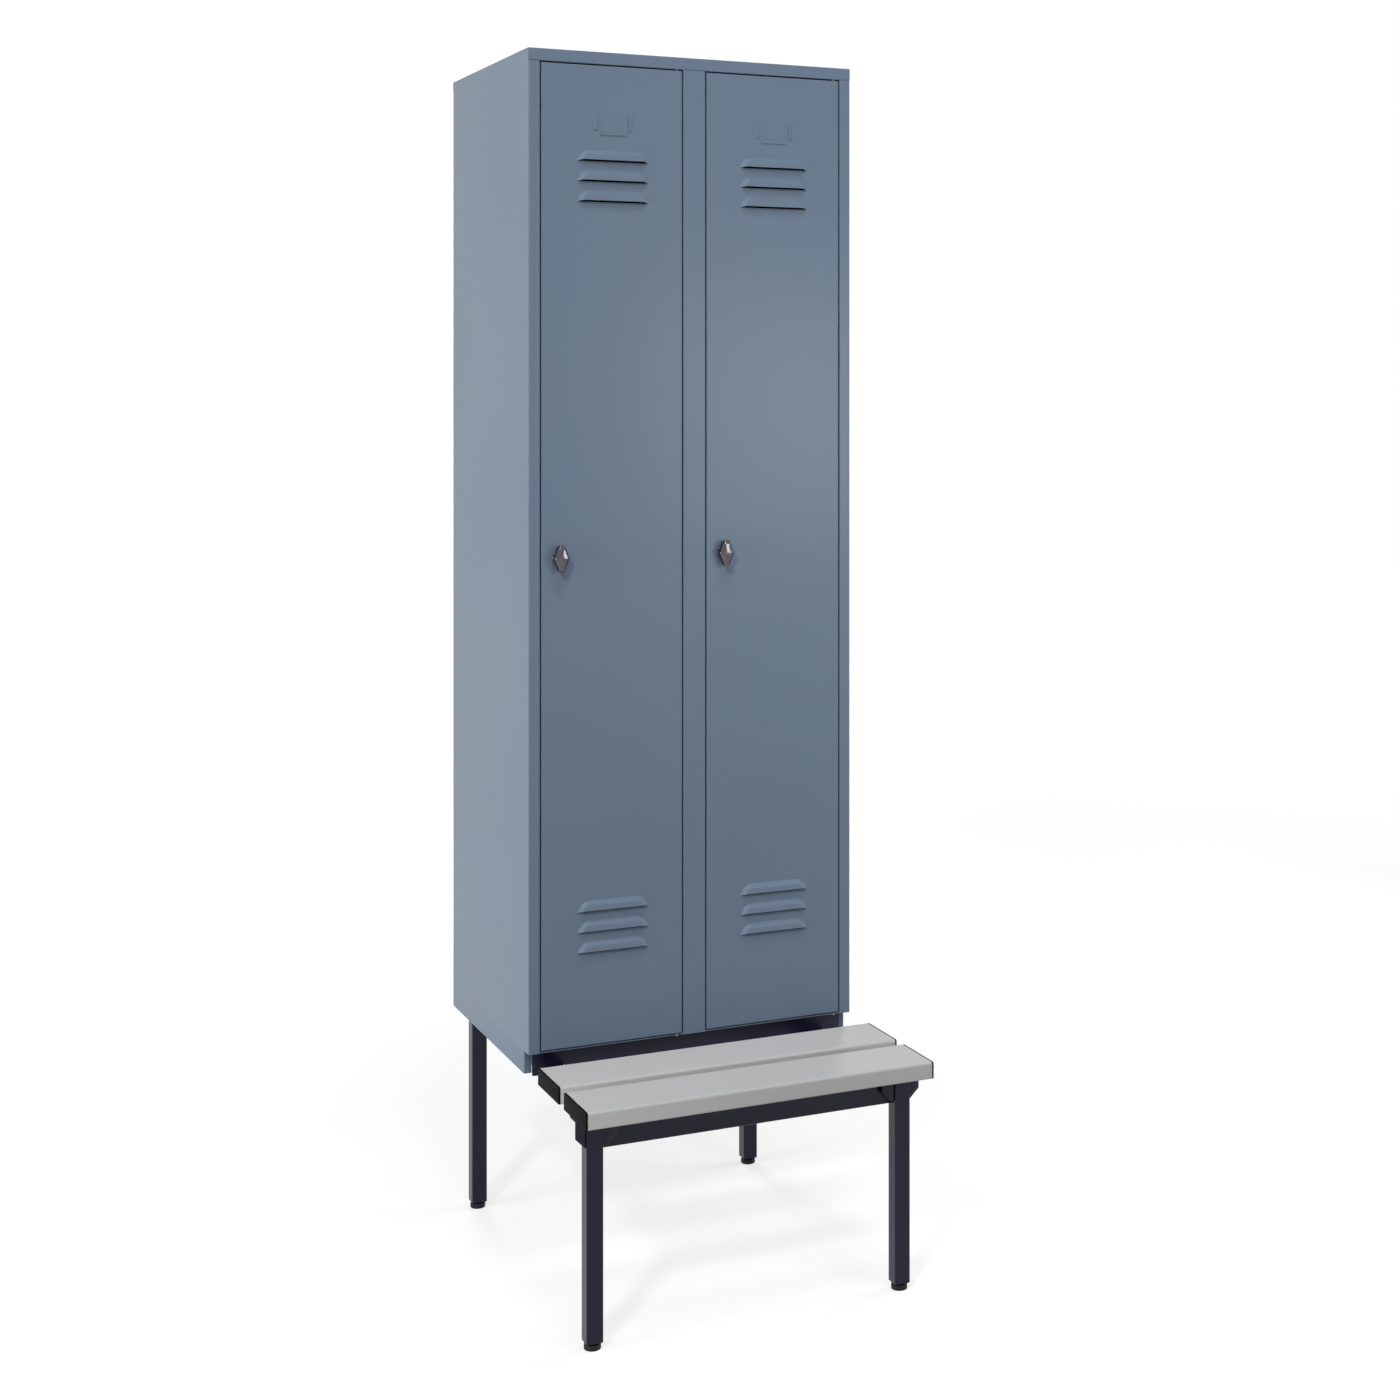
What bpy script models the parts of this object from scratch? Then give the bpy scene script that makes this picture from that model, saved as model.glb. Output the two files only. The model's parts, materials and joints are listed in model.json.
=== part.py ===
"""Two-door steel locker on a square-tube stand, with a two-slat bench in front of the doors.

Metres, +Z up. X runs across the doors, -Y is the front, and the origin lies on the floor under
the middle of the object's box. Heights are above the floor.
"""

import math

import bmesh
import bpy
from mathutils import Vector

# Clearances
seat_gap = 0.0003  # between two pieces that touch on the real object
overrun = 0.002  # how far a cutter reaches past what it cuts
curve_weld = 0.000001  # closes the loose caps of a curve
lathe_weld = 0.00001  # closes a turned piece along its axis

# Cabinet
cabinet_width = 0.600
cabinet_depth = 0.480
cabinet_top = 2.100
floor_height = 0.400  # upper face of the compartments' floor
sheet = 0.001
floor_sheet = 0.0015
jamb_width = 0.020
lintel_height = 0.021
post_width = 0.041
frame_return = 0.0185  # how deep the jambs, the post and the lintel fold back
stop_lip = 0.010  # fold behind a door's lock edge
rear_flange = 0.015
floor_flange = 0.013
floor_edge_setback = 0.0018
partition_flange = 0.012
side_skirt = 0.0385  # how far the side panels reach below the floor
skirt_setback = 0.026
skirt_flange = 0.013

# Inside each compartment
shelf_drop = 0.290  # from the top of the cabinet to the hat shelf
shelf_fold = 0.020
shelf_setback = 0.005  # from the frame to the shelf's front edge
coat_rail_drop = 0.055  # from the shelf to the rail's axis
coat_rail_radius = 0.0075
coat_rail_bore_radius = 0.0063
coat_rail_disc_radius = 0.016
coat_rail_disc = 0.002
coat_hook_spacing = 0.090
hook_wire_radius = 0.002
hook_play = 0.0007  # extra radius of the eye round the rail
hook_stem = 0.018
hook_bend_radius = 0.011
hook_bend_steps = 6
hook_tip = 0.008

# Doors
door_sheet = 0.001
door_depth = 0.018
door_lip = 0.008
door_side_gap = 0.0025
door_top_gap = 0.0025
door_floor_gap = 0.002
louvre_lip_width = 0.128
louvre_top_width = 0.107
louvre_height = 0.0181
louvre_lift = 0.0022  # of the lip above the cut in the skin
louvre_reach = 0.007
louvre_end_slope = 0.010
louvre_pitch = 0.0348
louvre_wall = 0.001
louvre_shear_gap = 0.0005
louvre_count = 3
louvre_top_margin = 0.1456
louvre_bottom_margin = 0.1584
louvre_crease_height_share = 0.62
louvre_crease_reach_share = 0.66
card_holder_width = 0.069
card_drop = 0.0965  # from the door's top to the middle of the side lips
card_lip_height = 0.026
card_lip_width = 0.006
card_lip_sheet = 0.0007
card_lip_stand_off = 0.0017
card_foot_drop = 0.0225  # from the middle of the side lips to the foot of the lower lip
card_foot_width = 0.045
stiffener_width = 0.060
stiffener_crown_width = 0.036
stiffener_height = 0.012
stiffener_margin = 0.030  # from the louvres to the stiffener's ends

# Hinges
pin_radius = 0.0025
pin_play = 0.00015
pin_collar_radius = 0.0042
pin_collar = 0.003
pin_reach = 0.004  # past the frame
hinge_inset = 0.008  # from the door's hinge edge to the pin's axis
hinge_setback = 0.006  # from the door's face to the pin's axis

# Knob and latch
knob_height = 1.236
knob_edge_distance = 0.0312  # from the door's lock edge
knob_length = 0.045
knob_width = 0.0265
knob_depth = 0.017
knob_depth_shares = (0, 0.35, 0.8, 1)  # levels from the back of the grip to its face
knob_size_shares = (0.95, 1, 1, 0.78)
knob_outline_powers = (1.7, 1.5, 1.25, 1.25)  # one is a rhombus, two an ellipse
rosette_radius = 0.0135
rosette_thickness = 0.003
rosette_edge = 0.001
rosette_neck_radius = 0.0088
rosette_collar_radius = 0.0115
rosette_collar = 0.002
rosette_play = 0.0004
spindle_radius = 0.004
spindle_play = 0.0003
spindle_square = 0.0054
spindle_thread_radius = 0.0025
spindle_tip = 0.001
cam_length = 0.034  # from the spindle's axis to the tip
cam_width = 0.018
cam_root_share = 0.9  # corner radii, of half the width
cam_tip_share = 0.33
cam_thickness = 0.003
cam_clearance = 0.001  # behind the stop lips
cam_square_play = 0.0002
nut_width = 0.010
nut_thickness = 0.004
nut_play = 0.0002

# Stand
stand_inset = 0.0135  # from the cabinet's sides to the legs
tube = 0.028
tube_wall = 0.002
tube_corner_radius = 0.0025
foot_height = 0.012
foot_radius = 0.0138
foot_pad = 0.009
foot_edge = 0.0015
foot_neck_radius = 0.008
foot_stem_radius = 0.004
foot_stem = 0.024
foot_play = 0.0003
leg_end_plate = 0.004
front_leg_setback = 0.051  # from the bench's front edge
rear_leg_setback = 0.057  # from the cabinet's back
bench_rail_height = 0.050
bench_rail_depth = 0.020
bench_rail_setback = 0.016  # from the front legs' front faces
bench_rail_drop = 0.0045  # below the slats
cabinet_rail_setback = 0.018  # from the cabinet's front
cabinet_rail_height = 0.042
cabinet_rail_flange = 0.030
cabinet_rail_thickness = 0.003
bracket_thickness = 0.003
bracket_outer_wing = 0.0183
bracket_inner_wing = 0.024
bracket_straight = 0.027
bracket_taper = 0.016
bracket_edge = 0.0006  # the plate stands out past the wings
bracket_wing_setback = 0.003  # from the leg's front face
bracket_lead = 0.003  # how far the plate stands out before and behind the leg
bolt_radius = 0.003
bolt_play = 0.0003
bolt_head_radius = 0.006
bolt_head = 0.004
bolt_length = 0.012
bolt_inset = 0.0585  # from the legs' inner faces

# Bench
slat_overhang = 0.005  # past each side of the cabinet
slat_width = 0.112
slat_thickness = 0.028
slat_gap = 0.026
slat_door_distance = 0.068  # from the doors to the rear slat
slat_door_clearance = 0.005  # the doors swing over the slats
slat_wall = 0.003
slat_rib = 0.0025
slat_top_radius = 0.004
slat_bottom_radius = 0.0015
slat_cells = 3
cap_thickness = 0.003
cap_plug = 0.010
screw_radius = 0.0025
screw_play = 0.0003
screw_head_radius = 0.0042
screw_head = 0.003
screw_reach = 0.006  # into the slat

# Faces of a full circle, and the angle past which a round edge is drawn sharp
coarse = 12
fine = 20
smooth_angle = math.radians(35)

# Worked out from the sizes above
half_width = cabinet_width / 2
bench_reach = slat_door_distance + 2 * slat_width + slat_gap
front = -(cabinet_depth - bench_reach) / 2
back = front + cabinet_depth
bench_front = front - bench_reach
floor_under = floor_height - floor_sheet
floor_front = front + floor_edge_setback
side_bottom = floor_under - side_skirt
lintel_bottom = cabinet_top - lintel_height
return_end = front + frame_return
stop_rear = return_end + sheet
wall_inner = half_width - sheet
top_inner = cabinet_top - sheet
back_panel_front = back - 2 * sheet - seat_gap
partition_rear = back_panel_front - seat_gap
post_half = post_width / 2
compartment_inner = sheet / 2 + seat_gap
compartment_outer = wall_inner - seat_gap
compartment_middle = (compartment_inner + compartment_outer) / 2
shelf_height = cabinet_top - shelf_drop
coat_rail_height = shelf_height - coat_rail_drop
coat_rail_y = (stop_rear + partition_rear) / 2

door_bottom = floor_height + door_floor_gap
door_top = lintel_bottom - door_top_gap
door_width = half_width - jamb_width - post_half - 2 * door_side_gap
door_height = door_top - door_bottom
door_back = front + door_depth
door_skin_back = front + door_sheet
louvre_stack = (louvre_count - 1) * louvre_pitch
upper_louvres = door_top - louvre_top_margin - louvre_height - louvre_stack  # lowest cut
lower_louvres = door_bottom + louvre_bottom_margin
card_height = door_top - card_drop
hinge_y = front + hinge_setback

cam_front = stop_rear + cam_clearance
cam_back = cam_front + cam_thickness
nut_back = cam_back + seat_gap + nut_thickness
knob_back = front - rosette_thickness - 2 * seat_gap

seat_height = door_bottom - slat_door_clearance
slat_bottom = seat_height - slat_thickness
slat_length = cabinet_width + 2 * slat_overhang  # with its end caps
slat_body_length = slat_length - 2 * (cap_thickness + seat_gap)
slat_cell_width = (slat_width - 2 * slat_wall - (slat_cells - 1) * slat_rib) / slat_cells
slat_cell_height = slat_thickness - 2 * slat_wall

leg_outer = half_width - stand_inset
leg_middle = leg_outer - tube / 2
leg_inner = leg_outer - tube
bolt_spread = leg_inner - bolt_inset
front_leg_front = bench_front + front_leg_setback
rear_leg_back = back - rear_leg_setback
bracket_under = slat_bottom - seat_gap - bracket_thickness
rail_top = floor_under - seat_gap
bearer_middle = leg_inner - seat_gap - tube / 2
bearer_top = slat_bottom - seat_gap
bearer_bottom = bearer_top - tube
bench_rail_front = front_leg_front + bench_rail_setback
bench_rail_top = slat_bottom - bench_rail_drop
bracket_wing_rear = front_leg_front + bracket_wing_setback + bracket_thickness
bracket_screw_x = leg_inner - bracket_inner_wing / 2
bracket_screw_y = (bracket_wing_rear + bench_rail_front) / 2
cabinet_rail_front = front + cabinet_rail_setback
cabinet_rail_bottom = rail_top - cabinet_rail_height
cabinet_rail_seat = bearer_top + seat_gap
floor_flange_front = front + skirt_setback + sheet + seat_gap

SIDES = {"left": -1, "right": 1}
DOOR_EDGES = {"left": -half_width + jamb_width + door_side_gap, "right": post_half + door_side_gap}
SLATS = {
    "rear": front - slat_door_distance - slat_width / 2,
    "front": front - slat_door_distance - slat_width - slat_gap - slat_width / 2,
}
LEG_ROWS = {"front": front_leg_front + tube / 2, "rear": rear_leg_back - tube / 2}
SCREW_SEATS = {
    "rear": (bearer_middle, SLATS["rear"], bearer_bottom),
    "front": (bracket_screw_x, bracket_screw_y, bracket_under),
}
BOLT_ROWS = {
    "front": cabinet_rail_front + cabinet_rail_flange / 2,
    "rear": rear_leg_back - cabinet_rail_flange / 2,
}

# Turns that stand a flat outline up: facing the front, and facing the side
UPRIGHT = (math.pi / 2, 0, 0)
SIDEWAYS = (math.pi / 2, 0, math.pi / 2)

parts = bpy.data.collections.new("locker_with_bench")
cutters = bpy.data.collections.new("cutters")
paint = {}


# Scene, materials and joining

def start_scene():
    for obj in list(bpy.data.objects):
        bpy.data.objects.remove(obj)
    for collection in (parts, cutters):
        bpy.context.scene.collection.children.link(collection)


def add_paint(use, name, colour, roughness, metallic=0.0):
    made = bpy.data.materials.new(name)
    made.use_nodes = True
    shader = made.node_tree.nodes["Principled BSDF"]
    shader.inputs["Base Color"].default_value = (*colour, 1.0)
    shader.inputs["Roughness"].default_value = roughness
    shader.inputs["Metallic"].default_value = metallic
    made.diffuse_color = (*colour, 1.0)
    paint[use] = made


def make_materials():
    add_paint("body", "blue_grey_powder_coat", (0.19, 0.25, 0.33), 0.45)
    add_paint("stand", "dark_powder_coat", (0.025, 0.027, 0.042), 0.4)
    add_paint("slat", "light_grey_plastic", (0.48, 0.48, 0.47), 0.35)
    add_paint("cap", "black_plastic", (0.012, 0.012, 0.013), 0.5)
    add_paint("steel", "zinc_plated_steel", (0.62, 0.62, 0.60), 0.35, 1.0)
    add_paint("knob", "polished_nickel", (0.70, 0.68, 0.66), 0.15, 1.0)
    add_paint("foot", "black_rubber", (0.015, 0.015, 0.016), 0.7)


def mesh_object(name, bm, look=None):
    """A piece of the object or, without a look, a helper among the cutters."""
    mesh = bpy.data.meshes.new(name)
    bm.to_mesh(mesh)
    bm.free()
    mesh.shade_smooth()
    mesh.set_sharp_from_angle(angle=smooth_angle)
    obj = bpy.data.objects.new(name, mesh)
    if look is None:
        cutters.objects.link(obj)
        obj.hide_render = True
        obj.display_type = "WIRE"
    else:
        parts.objects.link(obj)
        mesh.materials.append(paint[look])
    return obj


def combine(obj, other, operation):
    step = obj.modifiers.new(other.name, "BOOLEAN")
    step.operation = operation
    step.solver = "EXACT"
    step.object = other


def cut(obj, other):
    combine(obj, other, "DIFFERENCE")


def join(obj, other):
    combine(obj, other, "UNION")


def carry(name, place, pieces, parent=None):
    """An empty on a joint's axis, which carries the pieces that move with it."""
    empty = bpy.data.objects.new(name, None)
    parts.objects.link(empty)
    empty.location = place
    attach([empty], parent)
    attach(pieces, empty)
    return empty


def attach(pieces, parent):
    bpy.context.view_layer.update()
    for piece in pieces:
        piece.parent = parent
        if parent is not None:
            piece.matrix_parent_inverse = parent.matrix_world.inverted()


def attach_cutters():
    """Each cutter follows the piece that it shapes."""
    for obj in parts.objects:
        attach([step.object for step in obj.modifiers if step.type == "BOOLEAN"], obj)


# Shapes

def block(name, corner, opposite, look=None, rounded_along=None, radius=0.0):
    """A box between two corners. The edges that run along one axis may be rounded."""
    corner, opposite = Vector(corner), Vector(opposite)
    size = Vector(abs(a - b) for a, b in zip(corner, opposite))
    bm = bmesh.new()
    bmesh.ops.create_cube(bm, size=1)
    bmesh.ops.scale(bm, vec=size, verts=bm.verts)
    if rounded_along is not None:
        edges = [e for e in bm.edges if runs_along(e, rounded_along)]
        bmesh.ops.bevel(bm, geom=edges, offset=radius, segments=2, profile=0.5, affect="EDGES")
    obj = mesh_object(name, bm, look)
    obj.location = (corner + opposite) / 2
    return obj


def runs_along(edge, axis):
    step = edge.verts[0].co - edge.verts[1].co
    return abs(step[axis]) > abs(step[axis - 1]) + abs(step[axis - 2])


def rod(name, start, end, radius, look=None, sides=coarse):
    start, end = Vector(start), Vector(end)
    length = (end - start).length
    bm = bmesh.new()
    bmesh.ops.create_cone(
        bm, cap_ends=True, segments=sides, radius1=radius, radius2=radius, depth=length
    )
    obj = mesh_object(name, bm, look)
    obj.location = (start + end) / 2
    obj.rotation_euler = (end - start).to_track_quat("Z", "Y").to_euler()
    return obj


def folded(name, paths, sweep, thickness, look=None):
    """Folded sheet: open paths swept in a straight line, then given their thickness.

    Seen with the sweep pointing at the eye, the metal lies to the left of each path.
    """
    bm = bmesh.new()
    for path in paths:
        sweep_path(bm, [Vector(p) for p in path], Vector(sweep))
    obj = mesh_object(name, bm, look)
    shell = obj.modifiers.new("thickness", "SOLIDIFY")
    shell.thickness = thickness
    shell.offset = -1
    shell.use_even_offset = True
    return obj


def sweep_path(bm, path, sweep):
    """Adds one swept path, with its faces looking away from the metal."""
    verts = [bm.verts.new(p) for p in path]
    edges = [bm.edges.new(pair) for pair in zip(verts, verts[1:])]
    made = bmesh.ops.extrude_edge_only(bm, edges=edges)["geom"]
    faces = [g for g in made if isinstance(g, bmesh.types.BMFace)]
    ends = [g for g in made if isinstance(g, bmesh.types.BMVert)]
    bmesh.ops.translate(bm, vec=sweep, verts=ends)
    bm.normal_update()
    first = next(f for f in faces if verts[0] in f.verts)
    if first.normal.dot((path[1] - path[0]).cross(sweep)) < 0:
        bmesh.ops.reverse_faces(bm, faces=faces)


def mirrored(path, side):
    """The path for that side, run the other way on the right so that its metal stays inside."""
    if side < 0:
        return path
    return [(-x, y, z) for x, y, z in reversed(path)]


def turned(name, profile, place, look=None, turn=(0, 0, 0), closed=False, sides=fine):
    """A turned piece from (radius, height) points that run down its outer side.

    A closed profile makes a ring; an open one starts and ends on the axis.
    """
    bm = bmesh.new()
    verts = [bm.verts.new((radius, 0, height)) for radius, height in profile]
    for pair in zip(verts, verts[1:]):
        bm.edges.new(pair)
    if closed:
        bm.edges.new((verts[-1], verts[0]))
    obj = mesh_object(name, bm, look)
    lathe = obj.modifiers.new("turning", "SCREW")
    lathe.steps = sides
    lathe.render_steps = sides
    lathe.use_merge_vertices = True
    lathe.merge_threshold = lathe_weld
    obj.location = place
    obj.rotation_euler = turn
    return obj


def curve_piece(name, splines, place, look=None, turn=(0, 0, 0), **settings):
    """A curve made a mesh at once, with its loose caps welded, so that it can be joined."""
    curve = bpy.data.curves.new(name, "CURVE")
    for setting, value in settings.items():
        setattr(curve, setting, value)
    for points in splines:
        spline = curve.splines.new("POLY")
        spline.points.add(len(points) - 1)
        for point, co in zip(spline.points, points):
            point.co = (*co, 1)
        spline.use_cyclic_u = curve.dimensions == "2D"
    guide = bpy.data.objects.new(name, curve)
    cutters.objects.link(guide)
    graph = bpy.context.evaluated_depsgraph_get()
    bm = bmesh.new()
    bm.from_mesh(bpy.data.meshes.new_from_object(guide.evaluated_get(graph)))
    bmesh.ops.remove_doubles(bm, verts=bm.verts, dist=curve_weld)
    bmesh.ops.recalc_face_normals(bm, faces=bm.faces)
    bpy.data.objects.remove(guide)
    obj = mesh_object(name, bm, look)
    obj.location = place
    obj.rotation_euler = turn
    return obj


def plate(name, loops, thickness, place, turn, look=None):
    """A flat plate from closed (u, v) outlines, the first one outside and the rest holes."""
    splines = [[(u, v, 0) for u, v in loop] for loop in loops]
    return curve_piece(
        name, splines, place, look, turn, dimensions="2D", fill_mode="BOTH", extrude=thickness / 2
    )


def rounded_outline(corners, radii, steps=3):
    """A closed outline whose corners are arcs of the given radii."""
    points = []
    for index, radius in enumerate(radii):
        corner = Vector(corners[index])
        to_last = (Vector(corners[index - 1]) - corner).normalized()
        to_next = (Vector(corners[(index + 1) % len(corners)]) - corner).normalized()
        half_angle = to_last.angle(to_next) / 2
        tangent = radius / math.tan(half_angle)
        middle = corner + (to_last + to_next).normalized() * radius / math.sin(half_angle)
        start = corner + to_last * tangent - middle
        end = corner + to_next * tangent - middle
        for step in range(steps):
            share = step / (steps - 1)
            spoke = start.lerp(end, share).normalized() * radius
            points.append(tuple(middle + spoke))
    return points


def rectangle(width, height, middle=(0, 0)):
    u, v = middle
    return [
        (u - width / 2, v - height / 2),
        (u + width / 2, v - height / 2),
        (u + width / 2, v + height / 2),
        (u - width / 2, v + height / 2),
    ]


def circle(radius, sides=coarse, middle=(0, 0)):
    angles = [2 * math.pi * step / sides for step in range(sides)]
    return [(middle[0] + radius * math.cos(a), middle[1] + radius * math.sin(a)) for a in angles]


def superellipse(wide, tall, power, sides):
    """The closed outline on which the powers of |u / wide| and |v / tall| add up to one."""
    points = []
    for step in range(sides):
        angle = 2 * math.pi * step / sides
        across, along = math.cos(angle), math.sin(angle)
        u = wide * math.copysign(abs(across) ** (2 / power), across)
        v = tall * math.copysign(abs(along) ** (2 / power), along)
        points.append((u, v))
    return points


def lofted(name, levels, place, look=None, turn=(0, 0, 0)):
    """A solid through (height, outline) levels, whose outlines have as many points each."""
    bm = bmesh.new()
    rings = [[bm.verts.new((u, v, height)) for u, v in outline] for height, outline in levels]
    loops = [[bm.edges.new(pair) for pair in zip(ring, ring[1:] + ring[:1])] for ring in rings]
    for loop, following in zip(loops, loops[1:]):
        bmesh.ops.bridge_loops(bm, edges=loop + following)
    bm.faces.new(rings[0])
    bm.faces.new(rings[-1])
    bmesh.ops.recalc_face_normals(bm, faces=bm.faces)
    obj = mesh_object(name, bm, look)
    obj.location = place
    obj.rotation_euler = turn
    return obj


# Cabinet

def make_side_panel(word, side):
    """Wall with a rear flange, a front jamb and a set-back skirt. The left jamb stops a door."""
    jamb_x = half_width - jamb_width
    path = [
        (-half_width + rear_flange, back, side_bottom),
        (-half_width, back, side_bottom),
        (-half_width, front, side_bottom),
        (-jamb_x, front, side_bottom),
        (-jamb_x, return_end, side_bottom),
    ]
    if side < 0:
        path.append((-jamb_x + stop_lip, return_end, side_bottom))
    height = top_inner - seat_gap - side_bottom
    panel = folded(f"side_panel_{word}", [mirrored(path, side)], (0, 0, height), sheet, "body")
    outside = side * (half_width + overrun)
    mid_jamb = side * (half_width - jamb_width / 2)
    inside = side * (jamb_x - stop_lip - overrun)
    under_lintel = lintel_bottom - seat_gap
    cut(panel, block(
        f"skirt_cut_{word}",
        (outside, front - overrun, side_bottom - overrun),
        (inside, front + skirt_setback, floor_under),
    ))
    cut(panel, block(
        f"lintel_cut_{word}",
        (outside, front - overrun, under_lintel),
        (inside, front + sheet + 2 * seat_gap, cabinet_top),
    ))
    cut(panel, block(
        f"return_top_cut_{word}",
        (mid_jamb, front, under_lintel),
        (inside, stop_rear + overrun, cabinet_top),
    ))
    cut(panel, block(
        f"return_foot_cut_{word}",
        (mid_jamb, front + sheet + seat_gap, floor_under - overrun),
        (inside, stop_rear + overrun, floor_height + seat_gap),
    ))
    cut(panel, block(
        f"rear_corner_cut_{word}",
        (outside, back - sheet - seat_gap, cabinet_top - rear_flange - seat_gap),
        (side * (half_width - rear_flange - overrun), back + overrun, cabinet_top),
    ))
    join(panel, block(
        f"skirt_flange_{word}",
        (side * (half_width - sheet / 2), front + skirt_setback, side_bottom),
        (side * (half_width - skirt_flange), front + skirt_setback + sheet, rail_top),
    ))


def make_back_panel():
    block(
        "back_panel",
        (-wall_inner + seat_gap, back_panel_front, floor_height - floor_flange),
        (wall_inner - seat_gap, back_panel_front + sheet, top_inner - seat_gap),
        "body",
    )


def make_top_panel():
    """Roof whose front folds down into the lintel and whose rear folds over the back."""
    path = [
        (-half_width, back, cabinet_top - rear_flange),
        (-half_width, back, cabinet_top),
        (-half_width, front, cabinet_top),
        (-half_width, front, lintel_bottom),
        (-half_width, return_end, lintel_bottom),
    ]
    panel = folded("top_panel", [path], (cabinet_width, 0, 0), sheet, "body")
    for word, side in SIDES.items():
        cut(panel, block(
            f"lintel_end_cut_{word}",
            (side * (half_width + overrun), front + sheet + seat_gap, lintel_bottom - overrun),
            (side * (wall_inner - seat_gap), return_end + overrun, lintel_bottom + overrun),
        ))
        cut(panel, pin_hole(f"lintel_pin_hole_{word}", word, lintel_bottom))


def make_floor_panel():
    """Compartment floor with a flange down each side, behind the skirts' front folds."""
    outer = wall_inner - seat_gap
    low = floor_height - floor_flange
    path = [
        (-outer, floor_front, low),
        (-outer, floor_front, floor_height),
        (outer, floor_front, floor_height),
        (outer, floor_front, low),
    ]
    depth = back_panel_front - seat_gap - floor_front
    panel = folded("floor_panel", [path], (0, depth, 0), floor_sheet, "body")
    for word, side in SIDES.items():
        cut(panel, block(
            f"floor_flange_cut_{word}",
            (side * (outer + overrun), front - overrun, low - overrun),
            (side * (outer - overrun), floor_flange_front, floor_under),
        ))
        cut(panel, pin_hole(f"floor_pin_hole_{word}", word, floor_height))
        for row in BOLT_ROWS:
            cut(panel, bolt_hole(f"floor_bolt_hole_{row}_{word}", row, side, floor_height))


def make_partition():
    """Wall between the compartments. Its front folds into the post and the right door's stop."""
    path = [
        (partition_flange, partition_rear, floor_under),
        (-sheet / 2, partition_rear, floor_under),
        (-sheet / 2, stop_rear, floor_under),
        (-post_half, stop_rear, floor_under),
        (-post_half, front, floor_under),
        (post_half, front, floor_under),
        (post_half, return_end, floor_under),
        (post_half + stop_lip, return_end, floor_under),
    ]
    height = top_inner - seat_gap - floor_under
    panel = folded("partition", [path], (0, 0, height), sheet, "body")
    reach = post_half + stop_lip + overrun
    cut(panel, block(
        "partition_foot_cut",
        (-reach, front + sheet + seat_gap, floor_under - overrun),
        (reach, back, floor_height + seat_gap),
    ))
    cut(panel, block(
        "partition_head_cut",
        (-reach, front - overrun, lintel_bottom - seat_gap),
        (reach, stop_rear + seat_gap, cabinet_top),
    ))


def make_hat_shelf(word, side):
    low = shelf_height - shelf_fold
    start = stop_rear + shelf_setback
    rear = partition_rear - sheet - seat_gap
    x = min(side * compartment_inner, side * compartment_outer)
    path = [(x, rear, low), (x, rear, shelf_height), (x, start, shelf_height), (x, start, low)]
    width = compartment_outer - compartment_inner
    folded(f"hat_shelf_{word}", [path], (width, 0, 0), sheet, "body")


def make_coat_rail(word, side):
    half = (compartment_outer - compartment_inner) / 2
    web = half - coat_rail_disc
    profile = [
        (coat_rail_disc_radius, half),
        (coat_rail_disc_radius, web),
        (coat_rail_radius, web),
        (coat_rail_radius, -web),
        (coat_rail_disc_radius, -web),
        (coat_rail_disc_radius, -half),
        (coat_rail_bore_radius, -half),
        (coat_rail_bore_radius, half),
    ]
    turned(
        f"coat_rail_{word}", profile, (side * compartment_middle, coat_rail_y, coat_rail_height),
        "steel", turn=(0, math.pi / 2, 0), closed=True,
    )


def make_coat_hook(name, x):
    """A closed eye that hangs on the rail, with an open hook under it."""
    eye_radius = coat_rail_radius + hook_play + hook_wire_radius
    place = (x, coat_rail_y, coat_rail_height - hook_play + seat_gap)
    ring = [(eye_radius + r, -h) for h, r in circle(hook_wire_radius, 8)]
    eye = turned(
        name, ring, place, "steel", turn=(0, math.pi / 2, 0), closed=True, sides=coarse
    )
    bend_height = -eye_radius - hook_stem
    stem = [(0, 0, -eye_radius), (0, 0, bend_height)]
    bend_angles = [math.pi * (step + 1) / hook_bend_steps for step in range(hook_bend_steps)]
    bend = [
        (0, hook_bend_radius * (math.cos(a) - 1), bend_height - hook_bend_radius * math.sin(a))
        for a in bend_angles
    ]
    tip = [(0, -2 * hook_bend_radius, bend_height + hook_tip)]
    join(eye, curve_piece(
        f"{name}_bend", [stem + bend + tip], place,
        dimensions="3D", bevel_depth=hook_wire_radius, bevel_resolution=1, use_fill_caps=True,
    ))


# Doors

def hinge_x(word):
    return DOOR_EDGES[word] + door_width - hinge_inset


def pin_hole(name, word, height):
    return rod(
        name,
        (hinge_x(word), hinge_y, height - overrun),
        (hinge_x(word), hinge_y, height + overrun),
        pin_radius + pin_play,
    )


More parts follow.
